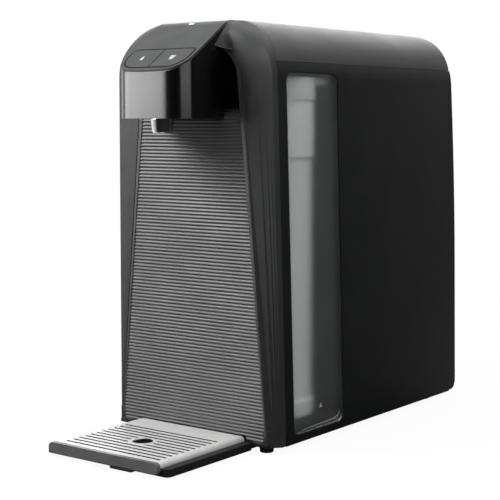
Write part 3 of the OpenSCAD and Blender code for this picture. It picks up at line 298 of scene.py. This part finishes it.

# %% [markdown]
# ## Metals
#
# Brushed steel is steel with many fine scratches in one direction. A noise
# that is stretched along X gives long streaks, and the streaks change both the
# roughness and the height. The walls of the punched slots have painted shade:
# they are coloured near black, and their direction tells them apart. The nozzle is polished.

# %% Metals
def metal(name, colour, gloss, stretch, depth, polish=1.0, slot_shade=None):
    """Metal with a direction: streaks in its gloss and height, and painted shade on faces along Y."""
    m, tree, shader = material(name)
    shader.inputs["Metallic"].default_value = polish
    shader.inputs["Specular IOR Level"].default_value = 0.2
    streak = field(tree, 700, 0.0, 1.0, stretch=stretch, detail=4)
    dark = tuple(c * 0.86 for c in colour)
    face = tint(tree, streak, dark, colour)
    # Painted shade: faces whose normal points along Y, the slot walls, are coloured near black.
    if slot_shade:
        place = tree.nodes.new("ShaderNodeTexCoord")
        split = tree.nodes.new("ShaderNodeSeparateXYZ")
        size = tree.nodes.new("ShaderNodeMath")
        size.operation = "ABSOLUTE"
        edge = tree.nodes.new("ShaderNodeMapRange")
        edge.inputs["From Min"].default_value = 0.35
        edge.inputs["From Max"].default_value = 0.75
        slot_shade_paint = tree.nodes.new("ShaderNodeMix")
        slot_shade_paint.data_type = "RGBA"
        slot_shade_paint.inputs["B"].default_value = (*slot_shade, 1)
        tree.links.new(place.outputs["Normal"], split.inputs["Vector"])
        tree.links.new(split.outputs["Y"], size.inputs[0])
        tree.links.new(size.outputs["Value"], edge.inputs["Value"])
        tree.links.new(edge.outputs["Result"], slot_shade_paint.inputs["Factor"])
        tree.links.new(face, slot_shade_paint.inputs["A"])
        face = slot_shade_paint.outputs["Result"]
    tree.links.new(face, shader.inputs["Base Color"])
    tree.links.new(field(tree, 500, gloss[0], gloss[1], stretch=stretch), shader.inputs["Roughness"])
    bump(tree, shader, streak, depth, 0.0001)
    return m


steel = metal("brushed_steel", (0.63, 0.63, 0.625), (0.40, 0.52), (0.03, 1, 1), 0.12, polish=0.12,
              slot_shade=(0.03, 0.03, 0.03))
chrome = metal("dark_chrome", (0.80, 0.81, 0.82), (0.04, 0.08), (1, 1, 0.1), 0.04)
zinc = metal("plated_steel", (0.48, 0.49, 0.5), (0.3, 0.45), (1, 1, 0.1), 0.1)
dress(steel, "drip_grille")
dress(chrome, "nozzle_sleeve")
dress(zinc, "pump_bracket", "pump_motor", "rear_screws")
print("metals:", [m.name for m in (steel, chrome, zinc)])

# %% [markdown]
# ## See-through plastics
#
# The filter door is a smoked pane with a frosted skin: it lets the white
# cartridge behind it show as a pale band. The tank is clearer. Each is a rough
# clear body that blurs what lies behind it. Lamp light is let straight in, so
# that the inside is not left dark. The indicator's lens glows a little.

# %% Smoked pane and clear tank
def see_through(name, colour, through, gloss, ior):
    """A pane: a rough clear body that blurs, and that lets lamp light straight in."""
    m, tree, shader = material(name)
    tint_of = tint(tree, field(tree, 40), tuple(c * 0.98 for c in colour), colour)
    tree.links.new(tint_of, shader.inputs["Base Color"])
    tree.links.new(field(tree, 30, gloss[0], gloss[1]), shader.inputs["Roughness"])
    shader.inputs["Transmission Weight"].default_value = 1.0
    shader.inputs["IOR"].default_value = ior
    bump(tree, shader, field(tree, 900), 0.01)
    window = tree.nodes.new("ShaderNodeBsdfTransparent")
    window.inputs["Color"].default_value = (*through, 1)
    path = tree.nodes.new("ShaderNodeLightPath")
    either = tree.nodes.new("ShaderNodeMath")
    either.operation = "MAXIMUM"
    tree.links.new(path.outputs["Is Shadow Ray"], either.inputs[0])
    tree.links.new(path.outputs["Is Diffuse Ray"], either.inputs[1])
    mix = tree.nodes.new("ShaderNodeMixShader")
    tree.links.new(either.outputs["Value"], mix.inputs["Fac"])
    tree.links.new(shader.outputs["BSDF"], mix.inputs[1])
    tree.links.new(window.outputs["BSDF"], mix.inputs[2])
    tree.links.new(mix.outputs["Shader"], tree.nodes["Material Output"].inputs["Surface"])
    return m


smoke = see_through("smoked_pane", (0.94, 0.955, 0.955), (0.95, 0.96, 0.96), (0.36, 0.38), 1.3)
clear = see_through("clear_tank", (0.86, 0.92, 0.94), (0.90, 0.95, 0.97), (0.08, 0.14), 1.4)
dress(smoke, "filter_door")
dress(clear, "water_tank")

lit, tree, shader = material("lit_lens")
glow = tint(tree, field(tree, 400), (0.55, 0.9, 0.75), (0.9, 1.0, 0.95))
tree.links.new(glow, shader.inputs["Base Color"])
tree.links.new(glow, shader.inputs["Emission Color"])
shader.inputs["Emission Strength"].default_value = 0.8
dress(lit, "indicator_lens")
print("see-through:", smoke.name, clear.name)

# %% [markdown]
# ## Small mouldings as meshes
#
# A few small parts are only seen, never used: seals, skirts and printed marks.
# They are easiest to describe by an outline that is pushed along a direction,
# or turned round an axis. The outlines are given in millimetres from the plane
# of the front panel, as on a drawing, and `at` turns them into the scene's
# metres. `piece` builds the mesh, lets it ride on a body, and softens it.

# %% Helpers for small pieces
import bmesh

PANEL_FACE = -0.11075


def at(x, y, z):
    """Millimetres from the panel's face to the scene's metres."""
    return (x / 1000, y / 1000 + PANEL_FACE, z / 1000)


def piece(name, points, faces, finish, body, slot, bevel=0.0002):
    """A mesh from points and faces that rides on a body."""
    mesh = bpy.data.meshes.new(name)
    mesh.from_pydata(points, [], faces)
    shape = bmesh.new()
    shape.from_mesh(mesh)
    bmesh.ops.recalc_face_normals(shape, faces=shape.faces)
    shape.to_mesh(mesh)
    shape.free()
    obj = bpy.data.objects.new(name, mesh)
    bpy.context.scene.collection.objects.link(obj)
    mesh.materials.append(finish)
    soften(obj, bevel=bevel)
    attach(obj, body)
    return obj


def prism(outline, low, high, place):
    """Points and faces of an outline that is pushed from low to high."""
    n = len(outline)
    points = [place(u, v, w) for w in (low, high) for u, v in outline]
    faces = [tuple(range(n)), tuple(range(n, 2 * n))]
    faces += [(i, (i + 1) % n, n + (i + 1) % n, n + i) for i in range(n)]
    return points, faces


def rounded(corners, radii, steps=6):
    """An outline with its corners rounded by arcs."""
    out, n = [], len(corners)
    for i, (corner, r) in enumerate(zip(corners, radii)):
        here = Vector(corner)
        before = (Vector(corners[i - 1]) - here).normalized()
        after = (Vector(corners[(i + 1) % n]) - here).normalized()
        half = before.angle(after) / 2
        middle = here + (before + after).normalized() * (r / math.sin(half))
        first, last = here + before * r / math.tan(half), here + after * r / math.tan(half)
        a, b = first - middle, last - middle
        for k in range(steps + 1):
            out.append(tuple(middle + a.slerp(b, k / steps).normalized() * r))
    return out


print("panel face at y =", PANEL_FACE)

# %% [markdown]
# ## Skirts under the bezel
#
# The bezel's lower corners are rounded, and behind them a plain black skirt
# closes the body down to the feet. One outline in plan makes the corner, and a
# lower one runs in front of the base up to the tray. A small web rounds each
# lower corner of the ribbed panel, and the ribbed cheeks beside the tray
# continue the panel down to the tray's rim.

# %% Skirts and cheeks
for side, word in ((1, "right"), (-1, "left")):
    corner = [(86.5, 0.4), (91.9, -0.6), (100.6, 9.75), (101.4, 10.6), (101.75, 11.7), (101.75, 16.35),
              (86.5, 16.35)]
    piece(word + "_corner_skirt", *prism(corner, 6.35, 22.6, lambda u, v, w: at(side * u, v, w)),
          frame_plastic, "body", "shell")
    toe = [(76.4, -0.95), (88.0, -0.95), (92.4, -0.9), (94.0, 1.4), (94.0, 6.5), (76.4, 6.5)]
    piece(word + "_toe_skirt", *prism(toe, 6.35, 9.8, lambda u, v, w: at(side * u, v, w)),
          base_plastic, "body", "base")
    quarter = [(81 + 9 * math.cos(a), 19 - 9 * math.sin(a)) for a in (math.pi / 16 * k for k in range(9))]
    web = [(90.8, 9.75), (90.8, 19.0)] + quarter + [(81.0, 9.75)]
    piece(word + "_corner_web", *prism(web, -0.5, 1.0, lambda u, v, w: at(side * u, w, v)),
          frame_plastic, "body", "shell")
    ribs = [(0.9 * (1 - abs(math.sin(math.pi * k / 8))), 10.0 + 3.4 * k / 8) for k in range(13)]
    cheek = ribs + [(3.9, ribs[-1][1]), (3.9, 10.0)]
    piece(word + "_tray_cheek", *prism(cheek, 66.8, 76.1, lambda u, v, w: at(side * w, u, v)),
          panel_plastic_with_painted_shadow, "body", "panel", bevel=0)

# %% [markdown]
# ## Where the head grows out of the bezel
#
# The bezel's crown does not stop at the head: it sweeps forward along the
# head's sides and ends in a point under the control plate. The sweep is a
# fillet between two curves. One lies on the side of the head, just under the
# plate's edge. The other is found by casting rays onto the bezel itself, so
# that the fillet meets it wherever it is. The rays turn from straight down at
# the top to nearly level at the bottom. Where one misses, the bezel's nearest
# point is used.

# %% Rows of the fillet
from mathutils.bvhtree import BVHTree

bezel = bpy.data.objects["front_bezel"]
skin = BVHTree.FromPolygons([bezel.matrix_world @ v.co for v in bezel.data.vertices],
                            [tuple(p.vertices) for p in bezel.data.polygons])
edge = [(21.5, 404.7), (17.5, 404.7), (13.6, 404.7), (10.5, 404.4), (8.0, 404.0), (5.5, 403.1),
        (3.6, 401.4), (2.0, 398.9), (-0.6, 396.0), (-3.3, 393.0), (-6.3, 389.6), (-9.3, 386.3),
        (-12.0, 383.7), (-14.5, 381.5)]
HEAD_SIDE, REACH, NARROWING, STEPS = 41.4, 60.0, 8, 8
RAY_TURN, CAST_FROM, SINK = 1.29, 0.06, 0.0002


def fillet_row(side, k):
    """Points from the head's side to the bezel, for one place on the edge."""
    y, z = edge[k]
    t = k / (len(edge) - 1)
    far_x = REACH - NARROWING * t
    aim = Vector((0, math.sin(RAY_TURN * t), -math.cos(RAY_TURN * t)))
    start = Vector(at(side * far_x, y, z)) - aim * CAST_FROM
    end = skin.ray_cast(start, aim)[0]
    if end is None:
        below = at(side * far_x, y, z - 3) if t < 0.5 else at(side * far_x, -0.8, z - 4)
        end = skin.find_nearest(Vector(below))[0]
    end = end + aim * SINK
    first = Vector(at(side * HEAD_SIDE, y, z))
    bend = end.lerp(first, 0.14)
    bend.x = side * (HEAD_SIDE + 0.28 * (far_x - HEAD_SIDE)) / 1000
    row = []
    for i in range(STEPS + 1):
        u = i / STEPS
        row.append(first * (1 - u) ** 2 + bend * (2 * u * (1 - u)) + end * u ** 2)
    return row


print("rows in each fillet:", len(edge))

# %% [markdown]
# ## The fillets and their lips
#
# Each fillet gets a second skin just inside the first, so that it is a closed
# shell and not a loose sheet. A pale lip along the lower edge carries on the
# panel's rim. It is a thin six-sided tube that follows the last row.

# %% Crown fillets
INWARD, LIP_RADIUS, LIP_SHIFT, SIDES = (0.0004, 0.0010, 0.0006), 0.0006, 0.0004, 6
for side, word in ((1, "right"), (-1, "left")):
    rows = [fillet_row(side, k) for k in range(len(edge))]
    front = [p for row in rows for p in row]
    inward = [p + Vector((-INWARD[0] * side, INWARD[1], -INWARD[2])) for p in front]
    w, n = STEPS + 1, len(front)
    faces = []
    for k in range(len(rows) - 1):
        for i in range(STEPS):
            q = (k * w + i, k * w + i + 1, (k + 1) * w + i + 1, (k + 1) * w + i)
            faces += [q, tuple(n + v for v in q)]
    ring = (list(range(w)) + [k * w + STEPS for k in range(1, len(rows))]
            + [n - 1 - i for i in range(1, w)] + [k * w for k in range(len(rows) - 2, 0, -1)])
    faces += [(a, b, n + b, n + a) for a, b in zip(ring, ring[1:] + ring[:1])]
    piece(word + "_crown_fillet", front + inward, faces, frame_plastic, "body", "shell", bevel=0)
    tube = []
    for p in rows[-1]:
        for c in range(SIDES):
            a = math.tau * c / SIDES
            out_y, out_z = LIP_RADIUS * math.cos(a), LIP_RADIUS * math.sin(a)
            tube.append(p + Vector((0, out_y + LIP_SHIFT, out_z - LIP_SHIFT)))
    faces = [(SIDES * i + c, SIDES * i + (c + 1) % SIDES,
              SIDES * (i + 1) + (c + 1) % SIDES, SIDES * (i + 1) + c)
             for i in range(STEPS) for c in range(SIDES)]
    faces += [tuple(range(SIDES)), tuple(range(SIDES * STEPS, SIDES * (STEPS + 1)))]
    piece(word + "_crown_lip", tube, faces, panel_plastic_with_painted_shadow, "body", "panel", bevel=0)
    print(word, "fillet meets the bezel at y from %.1f to %.1f mm" % tuple(
        (row[-1].y - PANEL_FACE) * 1000 for row in (rows[-1], rows[0])))

# %% [markdown]
# ## Seal round the buttons, coloured as painted shade
#
# Each button sits in a near-black seal, which stands in for the shade in the
# gaps: it shows as a dark line round the two of them and between them. Its lip
# lies a little over the plate. The control plate slopes, so its own coordinates
# are used: one along the slope and one square to it.

# %% Button seal
SLOPE, BEND = math.radians(34.5), (-0.525, 400.603)
HEAD, FOOT, HALF = 42.02, 71.02, 36.5
SEAL_FLOOR, SEAL_LIP = -1.5, 0.1


def on_plate(x, along, out):
    """A place on the sloped plate: across, up the slope, and out of it."""
    return at(x, BEND[0] + along * math.cos(SLOPE) - out * math.sin(SLOPE),
              BEND[1] + along * math.sin(SLOPE) + out * math.cos(SLOPE))


def button_ring(grow):
    """The outline of both buttons together, grown all round."""
    w = HALF + grow
    return rounded([(-w, grow - HEAD), (w, grow - HEAD), (w, -FOOT - grow), (-w, -FOOT - grow)],
                   [4 + grow, 4 + grow, 17 + grow, 17 + grow], 8)


# Painted shade: the seal is near black so that the gaps round the buttons read dark.
gap_shade_seal = moulded("gap_shade_seal", (0.003, 0.003, 0.003), (0.6, 0.7), grain=900, depth=0.1, shine=0.1)
outer, inner = button_ring(1.8), button_ring(0.2)
n = len(outer)
points = [on_plate(u, v, w) for w in (SEAL_FLOOR, SEAL_LIP) for ring in (outer, inner) for u, v in ring]
faces = []
for i in range(n):
    j = (i + 1) % n
    faces += [(i, j, n + j, n + i), (2 * n + i, 2 * n + j, 3 * n + j, 3 * n + i),
              (i, j, 2 * n + j, 2 * n + i), (n + i, n + j, 3 * n + j, 3 * n + i)]
piece("button_gap_shade_seal", points, faces, gap_shade_seal, "body", "rubber", bevel=0)
bar = [(-0.57, 0.2 - HEAD), (0.57, 0.2 - HEAD), (0.57, -FOOT - 0.2), (-0.57, -FOOT - 0.2)]
piece("button_gap_shade_seal_bar", *prism(bar, SEAL_FLOOR, SEAL_LIP, on_plate), gap_shade_seal, "body", "rubber",
      bevel=0.0001)
print("seal points:", len(points))

# %% [markdown]
# ## Marks
#
# Three printed marks, each a film of ink: a drop and a cup on the buttons, and
# an arrow head at the foot of the window that shows where the door is pulled. The
# door leans with the side of the machine, and `on_door` follows its face.

# %% Marks
# One pale colour for the printed marks and for the painted highlight on the door's lip.
print_and_highlight_ink = moulded("pale_print_and_highlight", (0.36, 0.37, 0.37), (0.5, 0.6), grain=3000, depth=0.05, vary=0.08)
INK_LOW, INK_HIGH = 0.2, 0.24
drop = []
for k in range(24):
    a = math.tau * k / 24
    drop.append((2.6 * math.sin(a) * math.sin(a / 2) ** 1.4 - 18, 3.8 * math.cos(a) - 56.0))
cup = rounded([(14.8, -52.8), (21.2, -52.8), (20.0, -59.6), (16.0, -59.6)], [0.3, 0.3, 1.2, 1.2], 4)
piece("drop_mark", *prism(drop, INK_LOW, INK_HIGH, on_plate), print_and_highlight_ink, "left_button", "plate", bevel=0)
piece("cup_mark", *prism(cup, INK_LOW, INK_HIGH, on_plate), print_and_highlight_ink, "right_button", "plate", bevel=0)
DOOR_FACE, BODY_FOOT, LEAN = 101.2, 6, math.tan(math.radians(1.1))


def on_door(u, v, w):
    """A place on the leaning door: along it, up it, and out of its face."""
    return at(DOOR_FACE - (v - BODY_FOOT) * LEAN + w, u, v)


arrow = rounded([(76.1, 38.4), (73.0, 33.2), (79.2, 33.2)], [0.25, 0.25, 0.25], 3)
piece("door_arrow_mark", *prism(arrow, 0.0, 0.06, on_door), print_and_highlight_ink, "door", "smoke", bevel=0)

# %% [markdown]
# ## Behind the window
#
# A white collar hangs from the manifold round the top of the first cartridge,
# just clear of it, and hides the joint from the window. It is part of a ring,
# with its edges drawn in a little at the top and the bottom.

# %% Cartridge collar
AXIS_X, AXIS_Y, OUTSIDE, INSIDE, ARC_STEPS = 56.2, 65, 35.2, 34.7, 40
arc = [math.radians(-75 + 150 * k / ARC_STEPS) for k in range(ARC_STEPS + 1)]
ring = [(r * math.cos(a) + AXIS_X, r * math.sin(a) + AXIS_Y)
        for r, angles in ((OUTSIDE, arc), (INSIDE, arc[::-1])) for a in angles]
points, faces = [], []
levels = ((331.0, 0.15), (331.6, 0.0), (355.0, 0.0), (357.0, 0.15))
n = len(ring)
for z, inset in levels:
    for i, (x, y) in enumerate(ring):
        keep = 1 - inset / OUTSIDE if i <= ARC_STEPS else 1 + inset / INSIDE
        points.append(at(AXIS_X + (x - AXIS_X) * keep, AXIS_Y + (y - AXIS_Y) * keep, z))
for k in range(len(levels) - 1):
    faces += [(k * n + i, k * n + (i + 1) % n, (k + 1) * n + (i + 1) % n, (k + 1) * n + i) for i in range(n)]
for base in (0, n * (len(levels) - 1)):
    faces += [(base + i, base + i + 1, base + n - 2 - i, base + n - 1 - i) for i in range(ARC_STEPS)]
piece("cartridge_collar", points, faces, white_plastic, "body", "white", bevel=0)
print("collar points:", len(points))

# %% [markdown]
# ## The door's lower lip
#
# The door's lower edge has a lip for the finger nail, pale as a painted highlight.
# It follows the edge round the corner and thins out at both ends.

# %% Door lip
path = [(42.0, 16.4), (60, 16.9), (80, 17.2), (98, 17.6), (103.5, 18.5), (107.5, 20.6), (109.8, 24.0)]
thick = [0.15, 0.8, 1.0, 1.1, 1.1, 1.0, 0.2]
highlight_lip = path + [(y - t * (0.0 if y < 100 else 0.7), z + t) for (y, z), t in zip(path[::-1], thick[::-1])]
# Painted highlight: the lip takes the pale print colour so that the edge reads bright.
piece("door_lip_painted_highlight", *prism(highlight_lip, -0.05, 0.12, on_door), print_and_highlight_ink, "door", "smoke", bevel=0)
print("lip points:", len(highlight_lip))

# %% [markdown]
# ## Eyelet in the drip plate
#
# The finger hole has a turned-over eyelet, which keeps the cut slots away from
# the finger. A profile is turned round the hole's axis.

# %% Eyelet
profile = [(9.6, 12.85), (9.6, 13.7), (9.9, 14.02), (10.4, 14.12), (12.8, 14.12), (13.3, 14.06),
           (13.6, 13.9), (13.6, 12.85)]
HOLE_Y = -71
turns, count = 64, len(profile)
points = [at(r * math.cos(math.tau * k / turns), HOLE_Y + r * math.sin(math.tau * k / turns), z)
          for k in range(turns) for r, z in profile]
faces = [(k * count + i, k * count + (i + 1) % count, (k + 1) % turns * count + (i + 1) % count,
          (k + 1) % turns * count + i) for k in range(turns) for i in range(count)]
piece("finger_eyelet", points, faces, steel, "grille", "steel", bevel=0)
print("eyelet faces:", len(faces))

# %% [markdown]
# ## Camera
#
# The camera's place was solved from the photograph: the vertical edges, the
# edges that run back, and the machine's own depth give the position, the
# direction and the lens together. A long lens of 93 mm stands about 1.4 m away,
# 37 degrees to the right of the machine's front and a little above its middle.

# %% Camera
camera = bpy.data.objects.new("camera", bpy.data.cameras.new("camera"))
bpy.context.scene.collection.objects.link(camera)
camera.data.sensor_width = 36.0
camera.data.lens = 93.24
turn, dip = math.radians(37.1), math.radians(5.78)
look = Vector((-math.sin(turn) * math.cos(dip), math.cos(turn) * math.cos(dip), -math.sin(dip)))
camera.location = (0.7942, -1.06605, 0.3129)
camera.rotation_euler = look.to_track_quat("-Z", "Y").to_euler()
bpy.context.scene.camera = camera
print("camera:", tuple(round(c, 3) for c in camera.location))

# %% [markdown]
# ## The white room
#
# The machine stands in a white room, and the picture shows nothing of it but
# plain white. Two things make that: the floor and the world. For the camera
# both are white. For reflections they fade from white at the left and behind
# to dark at the right, as in a studio with one open side, because a black
# machine gets its shape from what it mirrors. Light that falls on the machine
# sees neither: it gets a dimmer grey world, so the white costs no contrast.
#
# `whiteness` builds that fade from a direction. It is used twice, with the
# ray's direction in the world and with the place on the floor.

# %% How white the room is
OPEN_SIDE = Vector((-0.6, 0.3, 0.75)).normalized()


def whiteness(tree, direction):
    """1 for the camera, and a fade from the open side for reflections."""
    path = tree.nodes.new("ShaderNodeLightPath")
    along = tree.nodes.new("ShaderNodeVectorMath")
    along.operation = "DOT_PRODUCT"
    along.inputs[1].default_value = OPEN_SIDE
    fade = tree.nodes.new("ShaderNodeMapRange")
    fade.interpolation_type = "SMOOTHSTEP"
    fade.inputs["From Min"].default_value = -0.17
    fade.inputs["From Max"].default_value = 0.60
    fade.inputs["To Min"].default_value = 0.015
    brighter = tree.nodes.new("ShaderNodeMath")
    brighter.operation = "MAXIMUM"
    tree.links.new(direction, along.inputs[0])
    tree.links.new(along.outputs["Value"], fade.inputs["Value"])
    tree.links.new(fade.outputs["Result"], brighter.inputs[0])
    tree.links.new(path.outputs["Is Camera Ray"], brighter.inputs[1])
    return brighter.outputs["Value"]


def seen_directly(tree):
    """1 for rays from the camera, from a mirror or through a pane."""
    path = tree.nodes.new("ShaderNodeLightPath")
    total = path.outputs["Is Camera Ray"]
    for kind in ("Is Glossy Ray", "Is Transmission Ray"):
        more = tree.nodes.new("ShaderNodeMath")
        more.operation = "ADD"
        more.use_clamp = True
        tree.links.new(total, more.inputs[0])
        tree.links.new(path.outputs[kind], more.inputs[1])
        total = more.outputs["Value"]
    return total


print("open side:", tuple(round(c, 2) for c in OPEN_SIDE))

# %% [markdown]
# ## The world
#
# The world mixes the white that is seen with the dimmer grey that lights. The
# view transform is the plain one, so a colour renders as it is written.

# %% World
world = bpy.data.worlds.new("studio")
bpy.context.scene.world = world
world.use_nodes = True
tree = world.node_tree
tree.nodes.clear()
out = tree.nodes.new("ShaderNodeOutputWorld")
white, room = tree.nodes.new("ShaderNodeBackground"), tree.nodes.new("ShaderNodeBackground")
white.inputs["Color"].default_value = (1, 1, 1, 1)
room.inputs["Color"].default_value = (0.5, 0.5, 0.5, 1)
room.inputs["Strength"].default_value = 0.25
mix = tree.nodes.new("ShaderNodeMixShader")
place = tree.nodes.new("ShaderNodeTexCoord")
tree.links.new(whiteness(tree, place.outputs["Generated"]), white.inputs["Strength"])
tree.links.new(seen_directly(tree), mix.inputs["Fac"])
tree.links.new(room.outputs["Background"], mix.inputs[1])
tree.links.new(white.outputs["Background"], mix.inputs[2])
tree.links.new(mix.outputs["Shader"], out.inputs["Surface"])
bpy.context.scene.view_settings.view_transform = "Standard"
print("world:", world.name)

# %% [markdown]
# ## Floor
#
# The floor mixes a plain pale surface with the white of the room. The plain
# share keeps the machine's soft shadow, and it ends a little way from the
# machine. Light that bounces off the floor is held down, so that the dark
# mouldings stay dark.

# %% Floor
bpy.ops.mesh.primitive_plane_add(size=12, location=(0, 0, -0.0002))
floor = bpy.context.object
floor.name = "floor"
m, tree, shader = material("floor")
shader.inputs["Roughness"].default_value = 0.9
shader.inputs["Specular IOR Level"].default_value = 0.0
pale = tint(tree, field(tree, 3), (0.84, 0.84, 0.84), (0.86, 0.86, 0.86))
path = tree.nodes.new("ShaderNodeLightPath")
bounce = tree.nodes.new("ShaderNodeMix")
bounce.data_type = "RGBA"
bounce.inputs["B"].default_value = (0.12, 0.12, 0.12, 1)
tree.links.new(pale, bounce.inputs["A"])
tree.links.new(path.outputs["Is Diffuse Ray"], bounce.inputs["Factor"])
tree.links.new(bounce.outputs["Result"], shader.inputs["Base Color"])
glow = tree.nodes.new("ShaderNodeEmission")
where = tree.nodes.new("ShaderNodeNewGeometry")
outward = tree.nodes.new("ShaderNodeVectorMath")
outward.operation = "NORMALIZE"
tree.links.new(where.outputs["Position"], outward.inputs[0])
tree.links.new(whiteness(tree, outward.outputs["Vector"]), glow.inputs["Strength"])
share = tree.nodes.new("ShaderNodeMath")
share.operation = "MULTIPLY"
away = tree.nodes.new("ShaderNodeVectorMath")
away.operation = "LENGTH"
tree.links.new(where.outputs["Position"], away.inputs[0])
whole = tree.nodes.new("ShaderNodeMapRange")
for socket, value in (("From Min", 0.5), ("From Max", 1.4), ("To Min", 0.94), ("To Max", 1.0)):
    whole.inputs[socket].default_value = value
tree.links.new(away.outputs["Value"], whole.inputs["Value"])
tree.links.new(seen_directly(tree), share.inputs[0])
tree.links.new(whole.outputs["Result"], share.inputs[1])
mix = tree.nodes.new("ShaderNodeMixShader")
tree.links.new(share.outputs["Value"], mix.inputs["Fac"])
tree.links.new(shader.outputs["BSDF"], mix.inputs[1])
tree.links.new(glow.outputs["Emission"], mix.inputs[2])
tree.links.new(mix.outputs["Shader"], tree.nodes["Material Output"].inputs["Surface"])
floor.data.materials.append(m)
print("floor:", tuple(round(c, 2) for c in floor.dimensions))

# %% [markdown]
# ## Lamps
#
# A long strip at the left is mirrored in the polished head. A small panel above
# it lights the ribs from that side, so the right side stays dark. A wide panel
# above lights the top and the drip plate, one behind draws the top cover's edge,
# and a weak one at the right opens the window.

# %% Lamps
def panel_light(name, place, aim, size, power):
    """A soft rectangular lamp pointed at a place."""
    lamp = bpy.data.lights.new(name, "AREA")
    lamp.shape, lamp.size, lamp.size_y = "RECTANGLE", size[0], size[1]
    lamp.energy = power
    obj = bpy.data.objects.new(name, lamp)
    bpy.context.scene.collection.objects.link(obj)
    obj.location = place
    obj.visible_camera = False
    obj.rotation_euler = (Vector(aim) - Vector(place)).to_track_quat("-Z", "Y").to_euler()
    return obj


panel_light("left_strip", (-1.28, -1.24, 0.40), (0, -0.15, 0.40), (1.35, 0.30), 6.6)
panel_light("upper_left", (-0.50, -0.62, 0.82), (-0.05, -0.1, 0.30), (0.55, 0.55), 10)
panel_light("above", (0.25, 0.0, 1.70), (0, 0, 0.2), (1.6, 1.6), 24)
panel_light("behind", (-0.9, 1.7, 1.1), (0, 0, 0.3), (1.8, 1.2), 18)
panel_light("right_fill", (1.9, -0.35, 0.95), (0, 0, 0.3), (2.2, 1.3), 12.5)
print("lamps:", len(bpy.data.lights))
